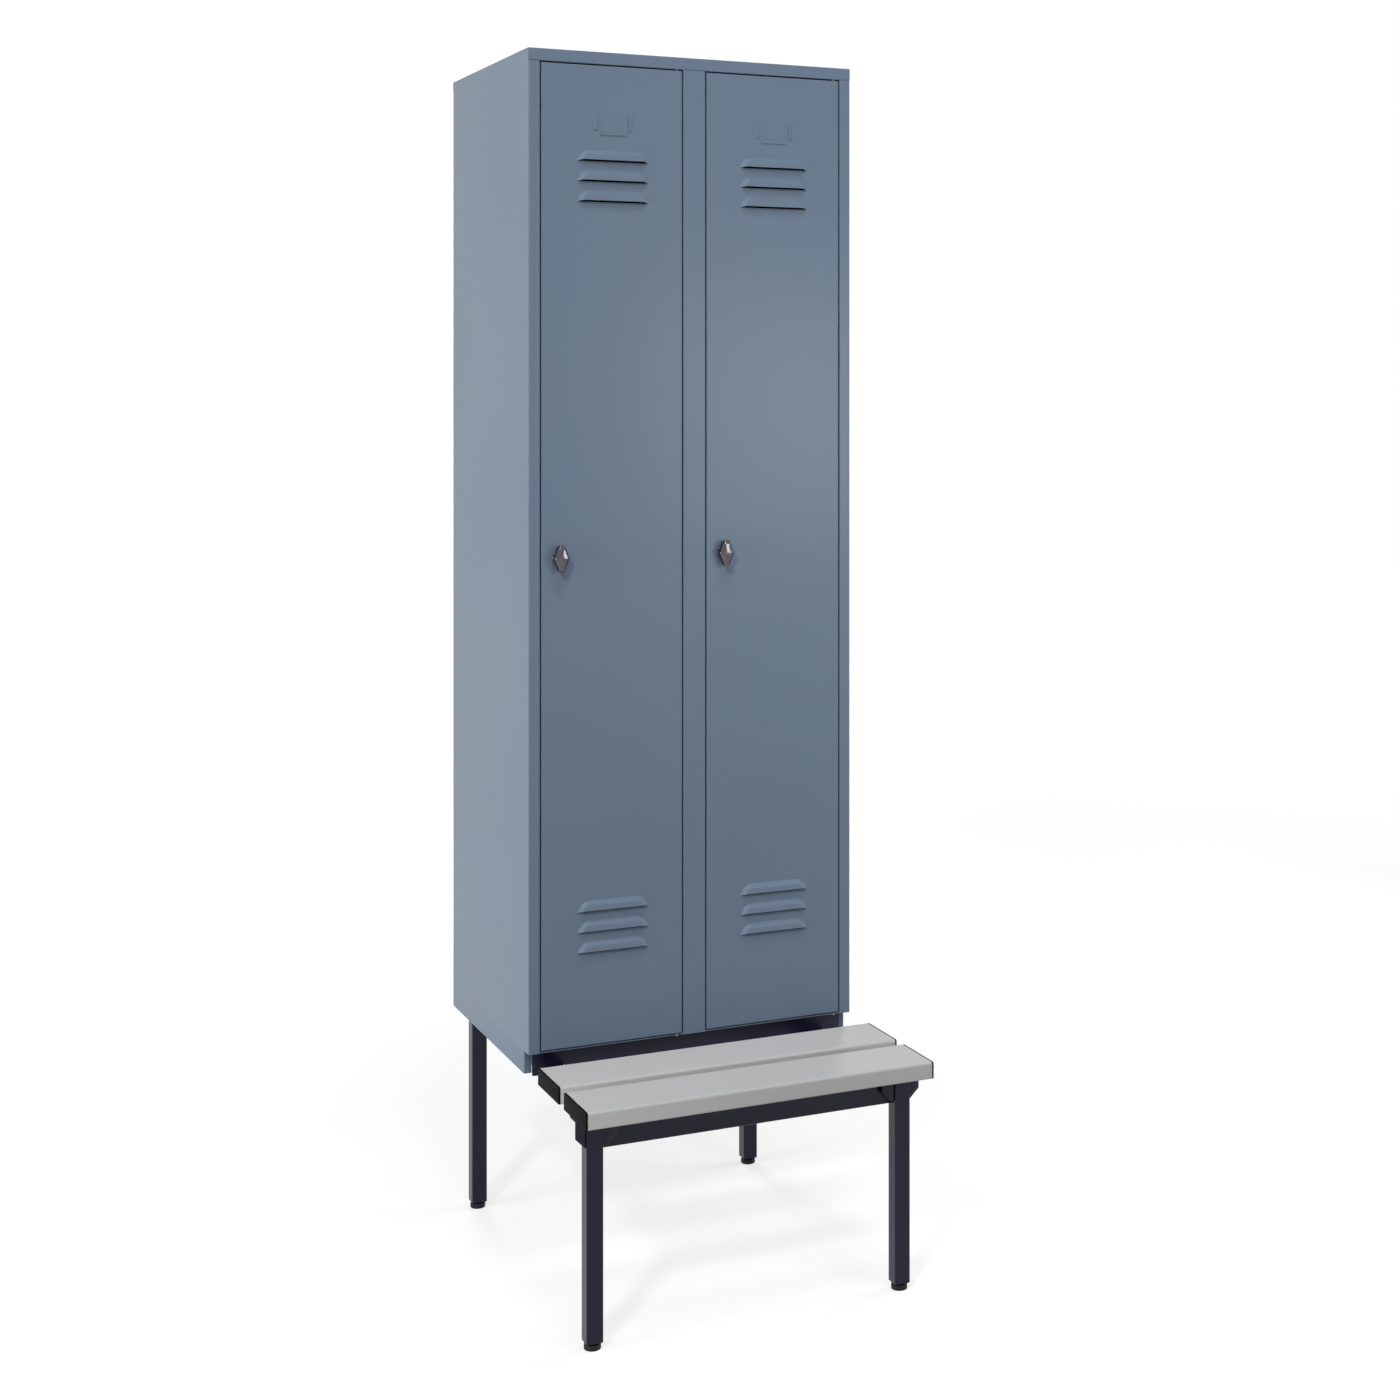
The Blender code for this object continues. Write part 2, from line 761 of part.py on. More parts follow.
def make_door(word):
    """Pan with a folded rear lip, louvres pressed out of its skin, and a card holder."""
    left = DOOR_EDGES[word]
    middle = left + door_width / 2
    bm = bmesh.new()
    bmesh.ops.create_cube(bm, size=1)
    bmesh.ops.scale(bm, vec=(door_width, door_depth, door_height), verts=bm.verts)
    rear = max(bm.faces, key=lambda f: f.calc_center_median().y)
    bmesh.ops.inset_region(bm, faces=[rear], thickness=door_lip, use_even_offset=True)
    bmesh.ops.delete(bm, geom=[rear], context="FACES")
    door = mesh_object(f"door_{word}", bm, "body")
    door.location = (middle, (front + door_back) / 2, (door_top + door_bottom) / 2)
    shell = door.modifiers.new("thickness", "SOLIDIFY")
    shell.thickness = door_sheet
    shell.offset = -1
    shell.use_even_offset = True

    join(door, louvres(f"louvres_{word}", middle, 0, (front + door_skin_back) / 2, 0))
    rear_of_cut = door_skin_back + overrun
    cut(door, louvres(
        f"louvre_hollows_{word}", middle, louvre_wall, rear_of_cut, louvre_shear_gap
    ))
    join(door, card_side_lips(f"card_side_lips_{word}", middle))
    join(door, card_lower_lip(f"card_lower_lip_{word}", middle))
    cut(door, pin_hole(f"door_pin_hole_upper_{word}", word, door_top))
    cut(door, pin_hole(f"door_pin_hole_lower_{word}", word, door_bottom))
    knob_x = left + knob_edge_distance
    cut(door, rod(
        f"lock_hole_{word}",
        (knob_x, front - overrun, knob_height),
        (knob_x, door_skin_back + overrun, knob_height),
        rosette_neck_radius + rosette_play,
        sides=fine,
    ))
    return door


def louvres(name, middle, inset, rear, drop):
    """All louvres of a door as wedges. Inset by the wall, they are the hollows to cut out."""
    bm = bmesh.new()
    for lowest in (upper_louvres, lower_louvres):
        for step in range(louvre_count):
            add_louvre(bm, middle, lowest + step * louvre_pitch, inset, rear, drop)
    return mesh_object(name, bm)


def add_louvre(bm, middle, low, inset, rear, drop):
    """One wedge: a sloped upper band, a crease, and a steeper band down to the lifted lip."""
    profile = [(0, 1), (louvre_crease_height_share, louvre_crease_reach_share), (1, 0)]
    points = []
    for up, out in profile:
        base = (louvre_lip_width + (louvre_top_width - louvre_lip_width) * up) / 2 - inset
        height = low + (louvre_height - inset) * up - (drop if up == 0 else 0)
        lift = louvre_lift if up == 0 else 0
        for side in (-1, 1):
            points.append((
                middle + side * (base - louvre_end_slope * out),
                front - louvre_reach * out + inset,
                height + lift,
            ))
            points.append((middle + side * base, rear, height))
    verts = [bm.verts.new(p) for p in points]
    made = bmesh.ops.convex_hull(bm, input=verts)
    spare = {g for g in made["geom_interior"] + made["geom_unused"]}
    bmesh.ops.delete(
        bm, geom=[g for g in spare if isinstance(g, bmesh.types.BMVert)], context="VERTS"
    )


def card_side_lips(name, middle):
    """The holder's two upright lips, each standing off the skin to take a card's edge."""
    low = card_height - card_lip_height / 2
    edge = card_holder_width / 2
    off = front - card_lip_stand_off
    rooted = (front + door_skin_back) / 2
    path = [(-edge, rooted, low), (-edge, off, low), (-edge + card_lip_width, off, low)]
    paths = [[(x + middle, y, z) for x, y, z in mirrored(path, side)] for side in SIDES.values()]
    return folded(name, paths, (0, 0, card_lip_height), card_lip_sheet)


def card_lower_lip(name, middle):
    low = card_height - card_foot_drop
    off = front - card_lip_stand_off
    x = middle - card_foot_width / 2
    path = [(x, off, low + card_lip_width), (x, off, low), (x, (front + door_skin_back) / 2, low)]
    return folded(name, [path], (card_foot_width, 0, 0), card_lip_sheet)


def make_door_stiffener(word):
    """Hat channel fixed behind the skin, between the two groups of louvres."""
    middle = DOOR_EDGES[word] + door_width / 2
    low = lower_louvres + louvre_stack + louvre_height + stiffener_margin
    high = upper_louvres - stiffener_margin
    foot_y = door_skin_back + seat_gap
    crown_y = foot_y + stiffener_height
    edge, web = stiffener_width / 2, stiffener_crown_width / 2
    section = [
        (-edge, foot_y), (-web, foot_y), (-web, crown_y),
        (web, crown_y), (web, foot_y), (edge, foot_y),
    ]
    path = [(middle + x, y, low) for x, y in section]
    return folded(f"door_stiffener_{word}", [path], (0, 0, high - low), door_sheet, "body")


def make_hinge_pins(word):
    """Pins through the door's end folds into the lintel and the floor, collared inside."""
    pins = []
    for level, edge, frame, up in (
        ("upper", door_top, lintel_bottom, 1), ("lower", door_bottom, floor_height, -1)
    ):
        def place(height):
            return (hinge_x(word), hinge_y, height)

        collar_end = edge - up * (door_sheet + seat_gap)
        collar_start = collar_end - up * pin_collar
        name = f"hinge_pin_{level}_{word}"
        start, end = place(collar_start + up * seat_gap), place(frame + up * pin_reach)
        pin = rod(name, start, end, pin_radius, "steel")
        join(pin, rod(f"{name}_collar", place(collar_start), place(collar_end), pin_collar_radius))
        pins.append(pin)
    return pins


# Knob and latch

def make_lock_rosette(word):
    """Collar clamped through the door's skin, with a bore for the knob's spindle."""
    bore = spindle_radius + spindle_play
    top = seat_gap + rosette_thickness
    inside = -door_sheet - seat_gap
    profile = [
        (rosette_radius - rosette_edge, top),
        (rosette_radius, top - rosette_edge),
        (rosette_radius, seat_gap),
        (rosette_neck_radius, seat_gap),
        (rosette_neck_radius, inside),
        (rosette_collar_radius, inside),
        (rosette_collar_radius, inside - rosette_collar),
        (bore, inside - rosette_collar),
        (bore, top),
    ]
    place = (DOOR_EDGES[word] + knob_edge_distance, front, knob_height)
    return turned(f"lock_rosette_{word}", profile, place, "knob", turn=UPRIGHT, closed=True)


def make_turn_knob(word):
    """Rhombic grip with a bevelled face, on a spindle with a square and a threaded end."""
    x = DOOR_EDGES[word] + knob_edge_distance
    levels = []
    for depth, size, power in zip(knob_depth_shares, knob_size_shares, knob_outline_powers):
        wide, tall = size * knob_width / 2, size * knob_length / 2
        levels.append((depth * knob_depth, superellipse(wide, tall, power, fine)))
    knob = lofted(f"turn_knob_{word}", levels, (x, knob_back, knob_height), "knob", turn=UPRIGHT)

    def place(y):
        return (x, y, knob_height)

    root = knob_back - knob_depth / 2
    shoulder = cam_front - seat_gap
    join(knob, rod(f"spindle_{word}", place(root), place(shoulder), spindle_radius, sides=fine))
    half = spindle_square / 2
    join(knob, block(
        f"spindle_square_{word}",
        (x - half, shoulder - overrun, knob_height - half),
        (x + half, cam_back, knob_height + half),
    ))
    thread_end = nut_back + spindle_tip
    join(knob, rod(
        f"spindle_thread_{word}", place(cam_front), place(thread_end), spindle_thread_radius
    ))
    return knob


def make_latch_cam(word):
    """Flat cam that points up while the door is free, and turns behind the stop to hold it."""
    x = DOOR_EDGES[word] + knob_edge_distance
    half = cam_width / 2
    root, tip = half * cam_root_share, half * cam_tip_share
    outline = rounded_outline(
        [(-half, -half), (half, -half), (half, cam_length), (-half, cam_length)],
        [root, root, tip, tip],
        steps=4,
    )
    hole = rectangle(spindle_square + 2 * cam_square_play, spindle_square + 2 * cam_square_play)
    place = (x, (cam_front + cam_back) / 2, knob_height)
    return plate(f"latch_cam_{word}", [outline, hole], cam_thickness, place, UPRIGHT, "steel")


def make_cam_nut(word):
    x = DOOR_EDGES[word] + knob_edge_distance
    outline = circle(nut_width / 2 / math.cos(math.pi / 6), 6)
    hole = circle(spindle_thread_radius + nut_play)
    place = (x, nut_back - nut_thickness / 2, knob_height)
    return plate(f"cam_nut_{word}", [outline, hole], nut_thickness, place, UPRIGHT, "steel")


def make_door_set(word):
    door_pieces = [make_door(word), make_door_stiffener(word), make_lock_rosette(word)]
    door_pieces += make_hinge_pins(word)
    latch_pieces = [make_turn_knob(word), make_latch_cam(word), make_cam_nut(word)]
    hinge = carry(f"door_axis_{word}", (hinge_x(word), hinge_y, knob_height), door_pieces)
    knob_x = DOOR_EDGES[word] + knob_edge_distance
    carry(f"latch_axis_{word}", (knob_x, front, knob_height), latch_pieces, parent=hinge)


# Stand

def make_leg(row, word, side, top):
    """Square tube, open at the top, with a plate at its foot for the levelling screw."""
    x, y = side * leg_middle, LEG_ROWS[row]
    half, bore = tube / 2, tube / 2 - tube_wall
    name = f"{row}_leg_{word}"
    leg = block(
        name, (x - half, y - half, foot_height), (x + half, y + half, top),
        "stand", rounded_along=2, radius=tube_corner_radius,
    )
    cut(leg, block(
        f"{name}_bore",
        (x - bore, y - bore, foot_height + leg_end_plate),
        (x + bore, y + bore, top + overrun),
    ))
    cut(leg, rod(
        f"{name}_screw_hole",
        (x, y, foot_height - overrun),
        (x, y, foot_height + leg_end_plate + overrun),
        foot_stem_radius + foot_play,
    ))


def make_levelling_foot(row, word, side):
    """Round pad on a screw that runs up into the leg. It can be run out to level the stand."""
    neck = foot_height - seat_gap
    profile = [
        (0, neck + foot_stem),
        (foot_stem_radius, neck + foot_stem),
        (foot_stem_radius, neck),
        (foot_neck_radius, neck),
        (foot_neck_radius, foot_pad),
        (foot_radius - foot_edge, foot_pad),
        (foot_radius, foot_pad - foot_edge),
        (foot_radius, foot_edge),
        (foot_radius - foot_edge, 0),
        (0, 0),
    ]
    place = (side * leg_middle, LEG_ROWS[row], 0)
    turned(f"levelling_foot_{row}_{word}", profile, place, "foot", sides=coarse)


def make_side_bearer(word, side):
    """Tube inside the legs, from the bench rail to the rear leg. It carries slats and rails."""
    x = side * bearer_middle
    start = bench_rail_front + bench_rail_depth + seat_gap
    half, bore = tube / 2, tube / 2 - tube_wall
    middle = (bearer_top + bearer_bottom) / 2
    name = f"side_bearer_{word}"
    bearer = block(
        name, (x - half, start, bearer_bottom), (x + half, rear_leg_back, bearer_top),
        "stand", rounded_along=1, radius=tube_corner_radius,
    )
    cut(bearer, block(
        f"{name}_bore",
        (x - bore, start - overrun, middle - bore),
        (x + bore, rear_leg_back + overrun, middle + bore),
    ))
    cut(bearer, screw_hole(f"{name}_screw_hole", "rear", side, bearer_bottom, bearer_top))


def screw_hole(name, row, side, low, high):
    x, y, _ = SCREW_SEATS[row]
    return rod(
        name, (side * x, y, low - overrun), (side * x, y, high + overrun), screw_radius + screw_play
    )


def make_bench_rail():
    """Upright rectangular tube between the front legs."""
    end = leg_inner - seat_gap
    low = bench_rail_top - bench_rail_height
    rear = bench_rail_front + bench_rail_depth
    rail = block(
        "bench_rail_front", (-end, bench_rail_front, low), (end, rear, bench_rail_top),
        "stand", rounded_along=0, radius=tube_corner_radius,
    )
    cut(rail, block(
        "bench_rail_bore",
        (-end - overrun, bench_rail_front + tube_wall, low + tube_wall),
        (end + overrun, rear - tube_wall, bench_rail_top - tube_wall),
    ))


def make_cabinet_rails():
    """Angles under the cabinet's floor: one notched over the bearers, one between rear legs."""
    front_end = half_width - skirt_flange - seat_gap
    y = cabinet_rail_front
    front_path = [
        (-front_end, y + cabinet_rail_flange, rail_top),
        (-front_end, y, rail_top),
        (-front_end, y, cabinet_rail_bottom),
    ]
    rear_end = leg_inner - seat_gap
    y = rear_leg_back
    rear_path = [
        (-rear_end, y, cabinet_rail_seat),
        (-rear_end, y, rail_top),
        (-rear_end, y - cabinet_rail_flange, rail_top),
    ]
    for row, path, end in (("front", front_path, front_end), ("rear", rear_path, rear_end)):
        rail = folded(
            f"cabinet_rail_{row}", [path], (2 * end, 0, 0), cabinet_rail_thickness, "stand"
        )
        for word, side in SIDES.items():
            if row == "front":
                join(rail, rail_end_return(word, side * front_end))
                cut(rail, bearer_notch(word, side))
            cut(rail, bolt_hole(f"rail_bolt_hole_{row}_{word}", row, side, rail_top))


def rail_end_return(word, end):
    """Fold at an end of the front rail, back to the skirt's flange."""
    return block(
        f"rail_end_return_{word}",
        (end - math.copysign(cabinet_rail_thickness, end), cabinet_rail_front, cabinet_rail_bottom),
        (end, front + skirt_setback - seat_gap, rail_top),
    )


def bearer_notch(word, side):
    """The room that the front rail leaves for a bearer, up to its seat on top of it."""
    room = tube / 2 + seat_gap
    return block(
        f"bearer_notch_{word}",
        (side * (bearer_middle - room), cabinet_rail_front - overrun, cabinet_rail_bottom - overrun),
        (
            side * (bearer_middle + room),
            cabinet_rail_front + cabinet_rail_thickness + overrun,
            cabinet_rail_seat,
        ),
    )


def bolt_hole(name, row, side, height):
    x, y = side * bolt_spread, BOLT_ROWS[row]
    reach = cabinet_rail_thickness + overrun
    return rod(name, (x, y, height - reach), (x, y, height + overrun), bolt_radius + bolt_play)


def make_stand_bolt(row, word, side):
    x, y = side * bolt_spread, BOLT_ROWS[row]
    seat = floor_height + seat_gap
    bolt = rod(
        f"stand_bolt_{row}_{word}", (x, y, seat - bolt_length), (x, y, seat + bolt_head / 2),
        bolt_radius, "steel",
    )
    join(bolt, rod(
        f"stand_bolt_head_{row}_{word}", (x, y, seat), (x, y, seat + bolt_head), bolt_head_radius
    ))


def make_bench_bracket(word, side):
    """Plate on a front leg's top, with a tapered wing down each side of the leg."""
    lead = tube / 2 + bracket_lead
    y = LEG_ROWS["front"]
    spans = {"outer": (leg_outer, bracket_outer_wing), "inner": (leg_inner, -bracket_inner_wing)}
    edges = [side * (edge + wing) for edge, wing in spans.values()]
    bracket = block(
        f"bench_bracket_{word}",
        (edges[0], y - lead, bracket_under),
        (edges[1], y + lead, bracket_under + bracket_thickness),
        "stand",
    )
    top = bracket_under + bracket_thickness / 2
    straight = bracket_under - bracket_straight
    wing_y = bracket_wing_rear - bracket_thickness / 2
    for place, (edge, wing) in spans.items():
        out = math.copysign(1, wing)
        near = edge + out * seat_gap
        tip = edge + wing - out * bracket_edge
        outline = [
            (side * near, top),
            (side * tip, top),
            (side * tip, straight),
            (side * (tip - out * bracket_taper), straight - bracket_taper),
            (side * near, straight - bracket_taper),
        ]
        join(bracket, plate(
            f"bracket_wing_{place}_{word}", [outline], bracket_thickness, (0, wing_y, 0), UPRIGHT
        ))
    high = bracket_under + bracket_thickness
    cut(bracket, screw_hole(f"bracket_screw_hole_{word}", "front", side, bracket_under, high))


# Bench

def slat_outline():
    corners = rectangle(slat_width, slat_thickness)
    return rounded_outline(
        corners, [slat_bottom_radius, slat_bottom_radius, slat_top_radius, slat_top_radius]
    )


def slat_cell_middles():
    pitch = slat_cell_width + slat_rib
    return [(step - (slat_cells - 1) / 2) * pitch for step in range(slat_cells)]


def make_seat_slat(row):
    """Hollow extruded slat with ribs inside."""
    place = (0, SLATS[row], seat_height - slat_thickness / 2)
    cells = [rectangle(slat_cell_width, slat_cell_height, (u, 0)) for u in slat_cell_middles()]
    slat = plate(
        f"seat_slat_{row}", [slat_outline(), *cells], slat_body_length, place, SIDEWAYS, "slat"
    )
    for word, side in SIDES.items():
        high = slat_bottom + slat_wall
        cut(slat, screw_hole(f"slat_screw_hole_{row}_{word}", row, side, slat_bottom, high))


def make_slat_cap(row, word, side):
    """End plate of a slat, with a plug in each of the slat's cells."""
    x = side * (slat_length - cap_thickness) / 2
    y, z = SLATS[row], seat_height - slat_thickness / 2
    name = f"slat_cap_{row}_{word}"
    cap = plate(name, [slat_outline()], cap_thickness, (x, y, z), SIDEWAYS, "cap")
    plug_end = side * (slat_body_length / 2 - cap_plug)
    half_width_of_plug = slat_cell_width / 2 - seat_gap
    half_height_of_plug = slat_cell_height / 2 - seat_gap
    for step, u in enumerate(slat_cell_middles()):
        join(cap, block(
            f"{name}_plug_{step}",
            (x, y + u - half_width_of_plug, z - half_height_of_plug),
            (plug_end, y + u + half_width_of_plug, z + half_height_of_plug),
        ))


def make_slat_screw(row, word, side):
    """Screw from under the bearer or the bracket up into the slat."""
    x, y, carrier = SCREW_SEATS[row]
    x, seat = side * x, carrier - seat_gap
    screw = rod(
        f"slat_screw_{row}_{word}", (x, y, seat - screw_head / 2), (x, y, slat_bottom + screw_reach),
        screw_radius, "steel",
    )
    join(screw, rod(
        f"slat_screw_head_{row}_{word}", (x, y, seat - screw_head), (x, y, seat), screw_head_radius
    ))


# The whole object

def make_cabinet():
    for word, side in SIDES.items():
        make_side_panel(word, side)
        make_hat_shelf(word, side)
        make_coat_rail(word, side)
        middle = side * compartment_middle
        make_coat_hook(f"coat_hook_{word}_outer", middle + side * coat_hook_spacing / 2)
        make_coat_hook(f"coat_hook_{word}_inner", middle - side * coat_hook_spacing / 2)
    make_back_panel()
    make_top_panel()
    make_floor_panel()
    make_partition()


def make_stand():
    for word, side in SIDES.items():
        make_leg("front", word, side, bracket_under - seat_gap)
        make_leg("rear", word, side, rail_top)
        make_side_bearer(word, side)
        make_bench_bracket(word, side)
        for row in LEG_ROWS:
            make_levelling_foot(row, word, side)
        for row in BOLT_ROWS:
            make_stand_bolt(row, word, side)
    make_bench_rail()
    make_cabinet_rails()


def make_bench():
    for row in SLATS:
        make_seat_slat(row)
        for word, side in SIDES.items():
            make_slat_cap(row, word, side)
            make_slat_screw(row, word, side)


start_scene()
make_materials()
make_cabinet()
for door_word in DOOR_EDGES:
    make_door_set(door_word)
make_stand()
make_bench()
attach_cutters()
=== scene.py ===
"""How the two-door locker with its bench looks: folded steel, tube, plastic slats and trim.

Metres, +Z up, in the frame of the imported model: -Y is the front and the floor lies at zero.
A sheet is a line of folds carried straight, a tube or a slat is a loop carried along an axis, a
turned piece is an outline swung about its axis, and a door's skin is a grid pushed out by a
height. A piece that isn't made again here is shown by its own solid.
"""

import json
import math

import bpy
import numpy as np
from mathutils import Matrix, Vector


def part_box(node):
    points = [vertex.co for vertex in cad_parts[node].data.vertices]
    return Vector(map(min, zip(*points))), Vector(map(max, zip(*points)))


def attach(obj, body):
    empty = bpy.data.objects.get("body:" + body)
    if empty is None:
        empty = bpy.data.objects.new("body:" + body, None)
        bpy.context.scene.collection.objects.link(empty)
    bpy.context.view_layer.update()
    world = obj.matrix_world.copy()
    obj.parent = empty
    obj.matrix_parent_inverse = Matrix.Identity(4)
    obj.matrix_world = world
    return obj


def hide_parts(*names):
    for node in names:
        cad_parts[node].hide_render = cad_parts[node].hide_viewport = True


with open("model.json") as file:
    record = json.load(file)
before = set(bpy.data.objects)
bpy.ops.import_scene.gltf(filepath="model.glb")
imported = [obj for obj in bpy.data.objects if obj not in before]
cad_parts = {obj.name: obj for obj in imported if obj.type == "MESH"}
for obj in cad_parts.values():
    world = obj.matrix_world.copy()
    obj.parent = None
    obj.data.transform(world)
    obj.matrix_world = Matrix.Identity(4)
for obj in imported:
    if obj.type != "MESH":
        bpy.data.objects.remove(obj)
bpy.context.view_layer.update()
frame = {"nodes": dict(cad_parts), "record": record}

X, Y, Z = range(3)

# Sheet metal
SHEET = 0.001
FLOOR_SHEET = 0.0015
RAIL_SHEET = 0.003
CARD_SHEET = 0.0007
FOLD_RADIUS = 0.0016  # outside a fold
FLOOR_FOLD_RADIUS = FOLD_RADIUS + FLOOR_SHEET - SHEET
RAIL_FOLD_RADIUS = 0.0045
CARD_FOLD_RADIUS = 0.0011
ARC_STEPS = 4
SOFT_EDGE = 0.0012  # narrow strip beside each rounding, which keeps the flat beyond it flat
GAP = 0.0003  # between pieces that meet

# Cabinet
JAMB = 0.020
FRAME_RETURN = 0.0185
STOP_LIP = 0.010
REAR_FLANGE = 0.015
SKIRT_SETBACK = 0.026
SKIRT_FLANGE = 0.013
FLOOR_FLANGE = 0.013
PARTITION_FLANGE = 0.012
POST_HALF = 0.0205

# Doors
DOOR_DEPTH = 0.018
DOOR_LIP = 0.008
LOUVRE_FOOT_WIDTH = 0.128
LOUVRE_CREST_WIDTH = 0.107
LOUVRE_HEIGHT = 0.0181
LOUVRE_REACH = 0.007
LOUVRE_CORNER = 0.010
LOUVRE_LIFT = 0.0022  # of the lip above the cut in the skin
LOUVRE_PITCH = 0.0348
LOUVRE_COUNT = 3
LOUVRE_STEP = 0.00085  # of the grid over a louvre
LOUVRE_ROWS_END = 1.3  # past the grid's last row over a louvre, as a share of its height
UPPER_MARGIN = 0.1456  # from the door's top to the upper louvres
LOWER_MARGIN = 0.1584  # from the door's bottom to the lowest cut
SHEAR_GAP = 0.0005  # height of the cut under a louvre
CREASE_HEIGHT_SHARE = 0.62  # of a louvre, where its sloped band meets its face
CREASE_REACH_SHARE = 0.82
CREASE_SOFTNESS_SHARE = 0.10  # of the reach, over which two faces of a louvre blend
FOOT_SOFTNESS_SHARE = 0.14  # the same, where a louvre meets the skin
CARD_WIDTH = 0.069
CARD_DROP = 0.0965  # from the door's top to the middle of the side lips
CARD_LIP_HEIGHT = 0.026
CARD_LIP = 0.006
CARD_STAND_OFF = 0.0017  # of a lip's face from the skin
CARD_FOOT_DROP = 0.0225  # from that middle to the lip below
CARD_FOOT_WIDTH = 0.045

# Stand and bench
TUBE_WALL = 0.002
TUBE_RADIUS = 0.0025
TUBE_INNER_RADIUS = 0.0005
TUBE_RIM = 0.0003
RAIL_EDGE = 0.0003
PLATE_EDGE = 0.0005
SLAT_TOP_RADIUS = 0.004
SLAT_LOW_RADIUS = 0.0015

# Meshes
MERGE_DIGITS = 6  # decimals of a metre by which points are told apart
ROW_TOLERANCE = 1e-6  # of a louvre's height, within which a row lies on the cut
CREASE_ANGLE = 35  # degrees, past which an edge is shown sharp
WIRE_CREASE_ANGLE = 50
KNOB_CREASE_ANGLE = 40
ROUND_SIDES = 48
ROSETTE_SIDES = 64
SHAFT_SIDES = 32
WIRE_SIDES = 12
RING_STEPS = 32
BEND_STEPS = 12
QUARTER_TURN = np.linspace(0, math.pi / 2, ARC_STEPS + 1)

SIDES = {"left": -1, "right": 1}
ROWS = ("front", "rear")

bodies_of = {
    node: body for body, nodes in frame["record"]["behaviour"]["bodies"].items() for node in nodes
}
slots_of = {part["node"]: part["material_slot"] for part in frame["record"]["subparts"]}
finishes = {}


def box(node):
    """The lowest and highest corner of a node, as arrays."""
    low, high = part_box(node)
    return np.array(low), np.array(high)


# Surfaces

def surface(points, keep=None, rows_closed=False, columns_closed=False):
    """A grid of points, the cells kept of it (None for all), and whether its last row meets its
    first and its last column its first."""
    return points, keep, rows_closed, columns_closed


def quads_of(points, keep, rows_closed, columns_closed):
    """Corner numbers of a grid's cells. A cell faces along its row step crossed with its column
    step."""
    rows, columns = points.shape[:2]
    row = np.arange(rows if rows_closed else rows - 1)[:, None]
    column = np.arange(columns if columns_closed else columns - 1)[None, :]
    next_row, next_column = (row + 1) % rows, (column + 1) % columns
    corners = (
        row * columns + column,
        next_row * columns + column,
        next_row * columns + next_column,
        row * columns + next_column,
    )
    quads = np.stack(np.broadcast_arrays(*corners), axis=-1)
    return quads.reshape(-1, 4) if keep is None else quads[keep]


def welded(surfaces):
    """One set of points and faces from several grids. Points that coincide are merged, and a cell
    that lost a side by that becomes a triangle."""
    quads, start = [], 0
    for points, *rest in surfaces:
        quads.append(quads_of(points, *rest) + start)
        start += points.shape[0] * points.shape[1]
    points = np.concatenate([points.reshape(-1, 3) for points, *_ in surfaces])
    _, first, number = np.unique(
        np.round(points, MERGE_DIGITS), axis=0, return_index=True, return_inverse=True
    )
    quads = number.reshape(-1)[np.concatenate(quads)]
    points = points[first]
    double = quads == np.roll(quads, -1, axis=1)
    sides_lost = double.sum(axis=1)
    whole, narrow = quads[sides_lost == 0], sides_lost == 1
    triangles = quads[narrow][~double[narrow]].reshape(-1, 3)
    used = np.zeros(len(points), bool)
    used[whole] = True
    used[triangles] = True
    renumbered = np.cumsum(used) - 1
    return points[used], renumbered[whole].tolist() + renumbered[triangles].tolist()


def dress(node, surfaces, thickness=None, edge=None, crease=CREASE_ANGLE, part="surface"):
    """Makes a shown piece of a node from surfaces, on the node's body and in its finish. The
    thickness of a sheet goes behind its surface. Where an edge width is given, every edge past
    the crease angle is rounded by it."""
    points, faces = welded(surfaces)
    mesh = bpy.data.meshes.new(f"{node}_{part}")
    mesh.from_pydata(points.tolist(), [], faces)
    piece = bpy.data.objects.new(f"{node}_{part}", mesh)
    bpy.context.scene.collection.objects.link(piece)
    if thickness is not None:
        wall = piece.modifiers.new("wall", "SOLIDIFY")
        wall.thickness = thickness
        wall.offset = -1
        wall.use_even_offset = True
    if edge is not None:
        rounding = piece.modifiers.new("rounding", "BEVEL")
        rounding.width = edge
        rounding.segments = 2
        rounding.limit_method = "ANGLE"
        rounding.angle_limit = math.radians(crease)
    if piece.modifiers:
        graph = bpy.context.evaluated_depsgraph_get()
        piece.data = bpy.data.meshes.new_from_object(piece.evaluated_get(graph))
        piece.modifiers.clear()
    piece.data.shade_smooth()
    piece.data.set_sharp_from_angle(angle=math.radians(crease))
    piece.data.materials.clear()
    piece.data.materials.append(finishes[slots_of[node]])
    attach(piece, bodies_of[node])
    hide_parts(node)


def arcs(before, corner, after, radius):
    """Arcs that round corners: with h half the angle between a corner's sides, the centre lies
    radius / sin h out along their bisector, and the arc meets the sides radius / tan h away."""
    back, ahead = before - corner, after - corner
    back /= np.linalg.norm(back, axis=1, keepdims=True)
    ahead /= np.linalg.norm(ahead, axis=1, keepdims=True)
    half = np.arccos(np.clip((back * ahead).sum(axis=1), -1, 1)) / 2
    bisector = back + ahead
    bisector /= np.linalg.norm(bisector, axis=1, keepdims=True)
    centre = corner + bisector * (radius / np.sin(half))[:, None]
    reach = (radius / np.tan(half))[:, None]
    start, end = corner + back * reach, corner + ahead * reach
    turn = np.sign(ahead[:, 0] * back[:, 1] - ahead[:, 1] * back[:, 0])
    spoke = start - centre
    angle = np.arctan2(spoke[:, 1], spoke[:, 0])[:, None]
    angle = angle + (turn * (math.pi - 2 * half))[:, None] * np.linspace(0, 1, ARC_STEPS + 1)
    bend = centre[:, None] + radius[:, None, None] * np.stack([np.cos(angle), np.sin(angle)], -1)
    first, last = (start + back * SOFT_EDGE)[:, None], (end + ahead * SOFT_EDGE)[:, None]
    return np.concatenate([first, bend, last], axis=1).reshape(-1, 2)


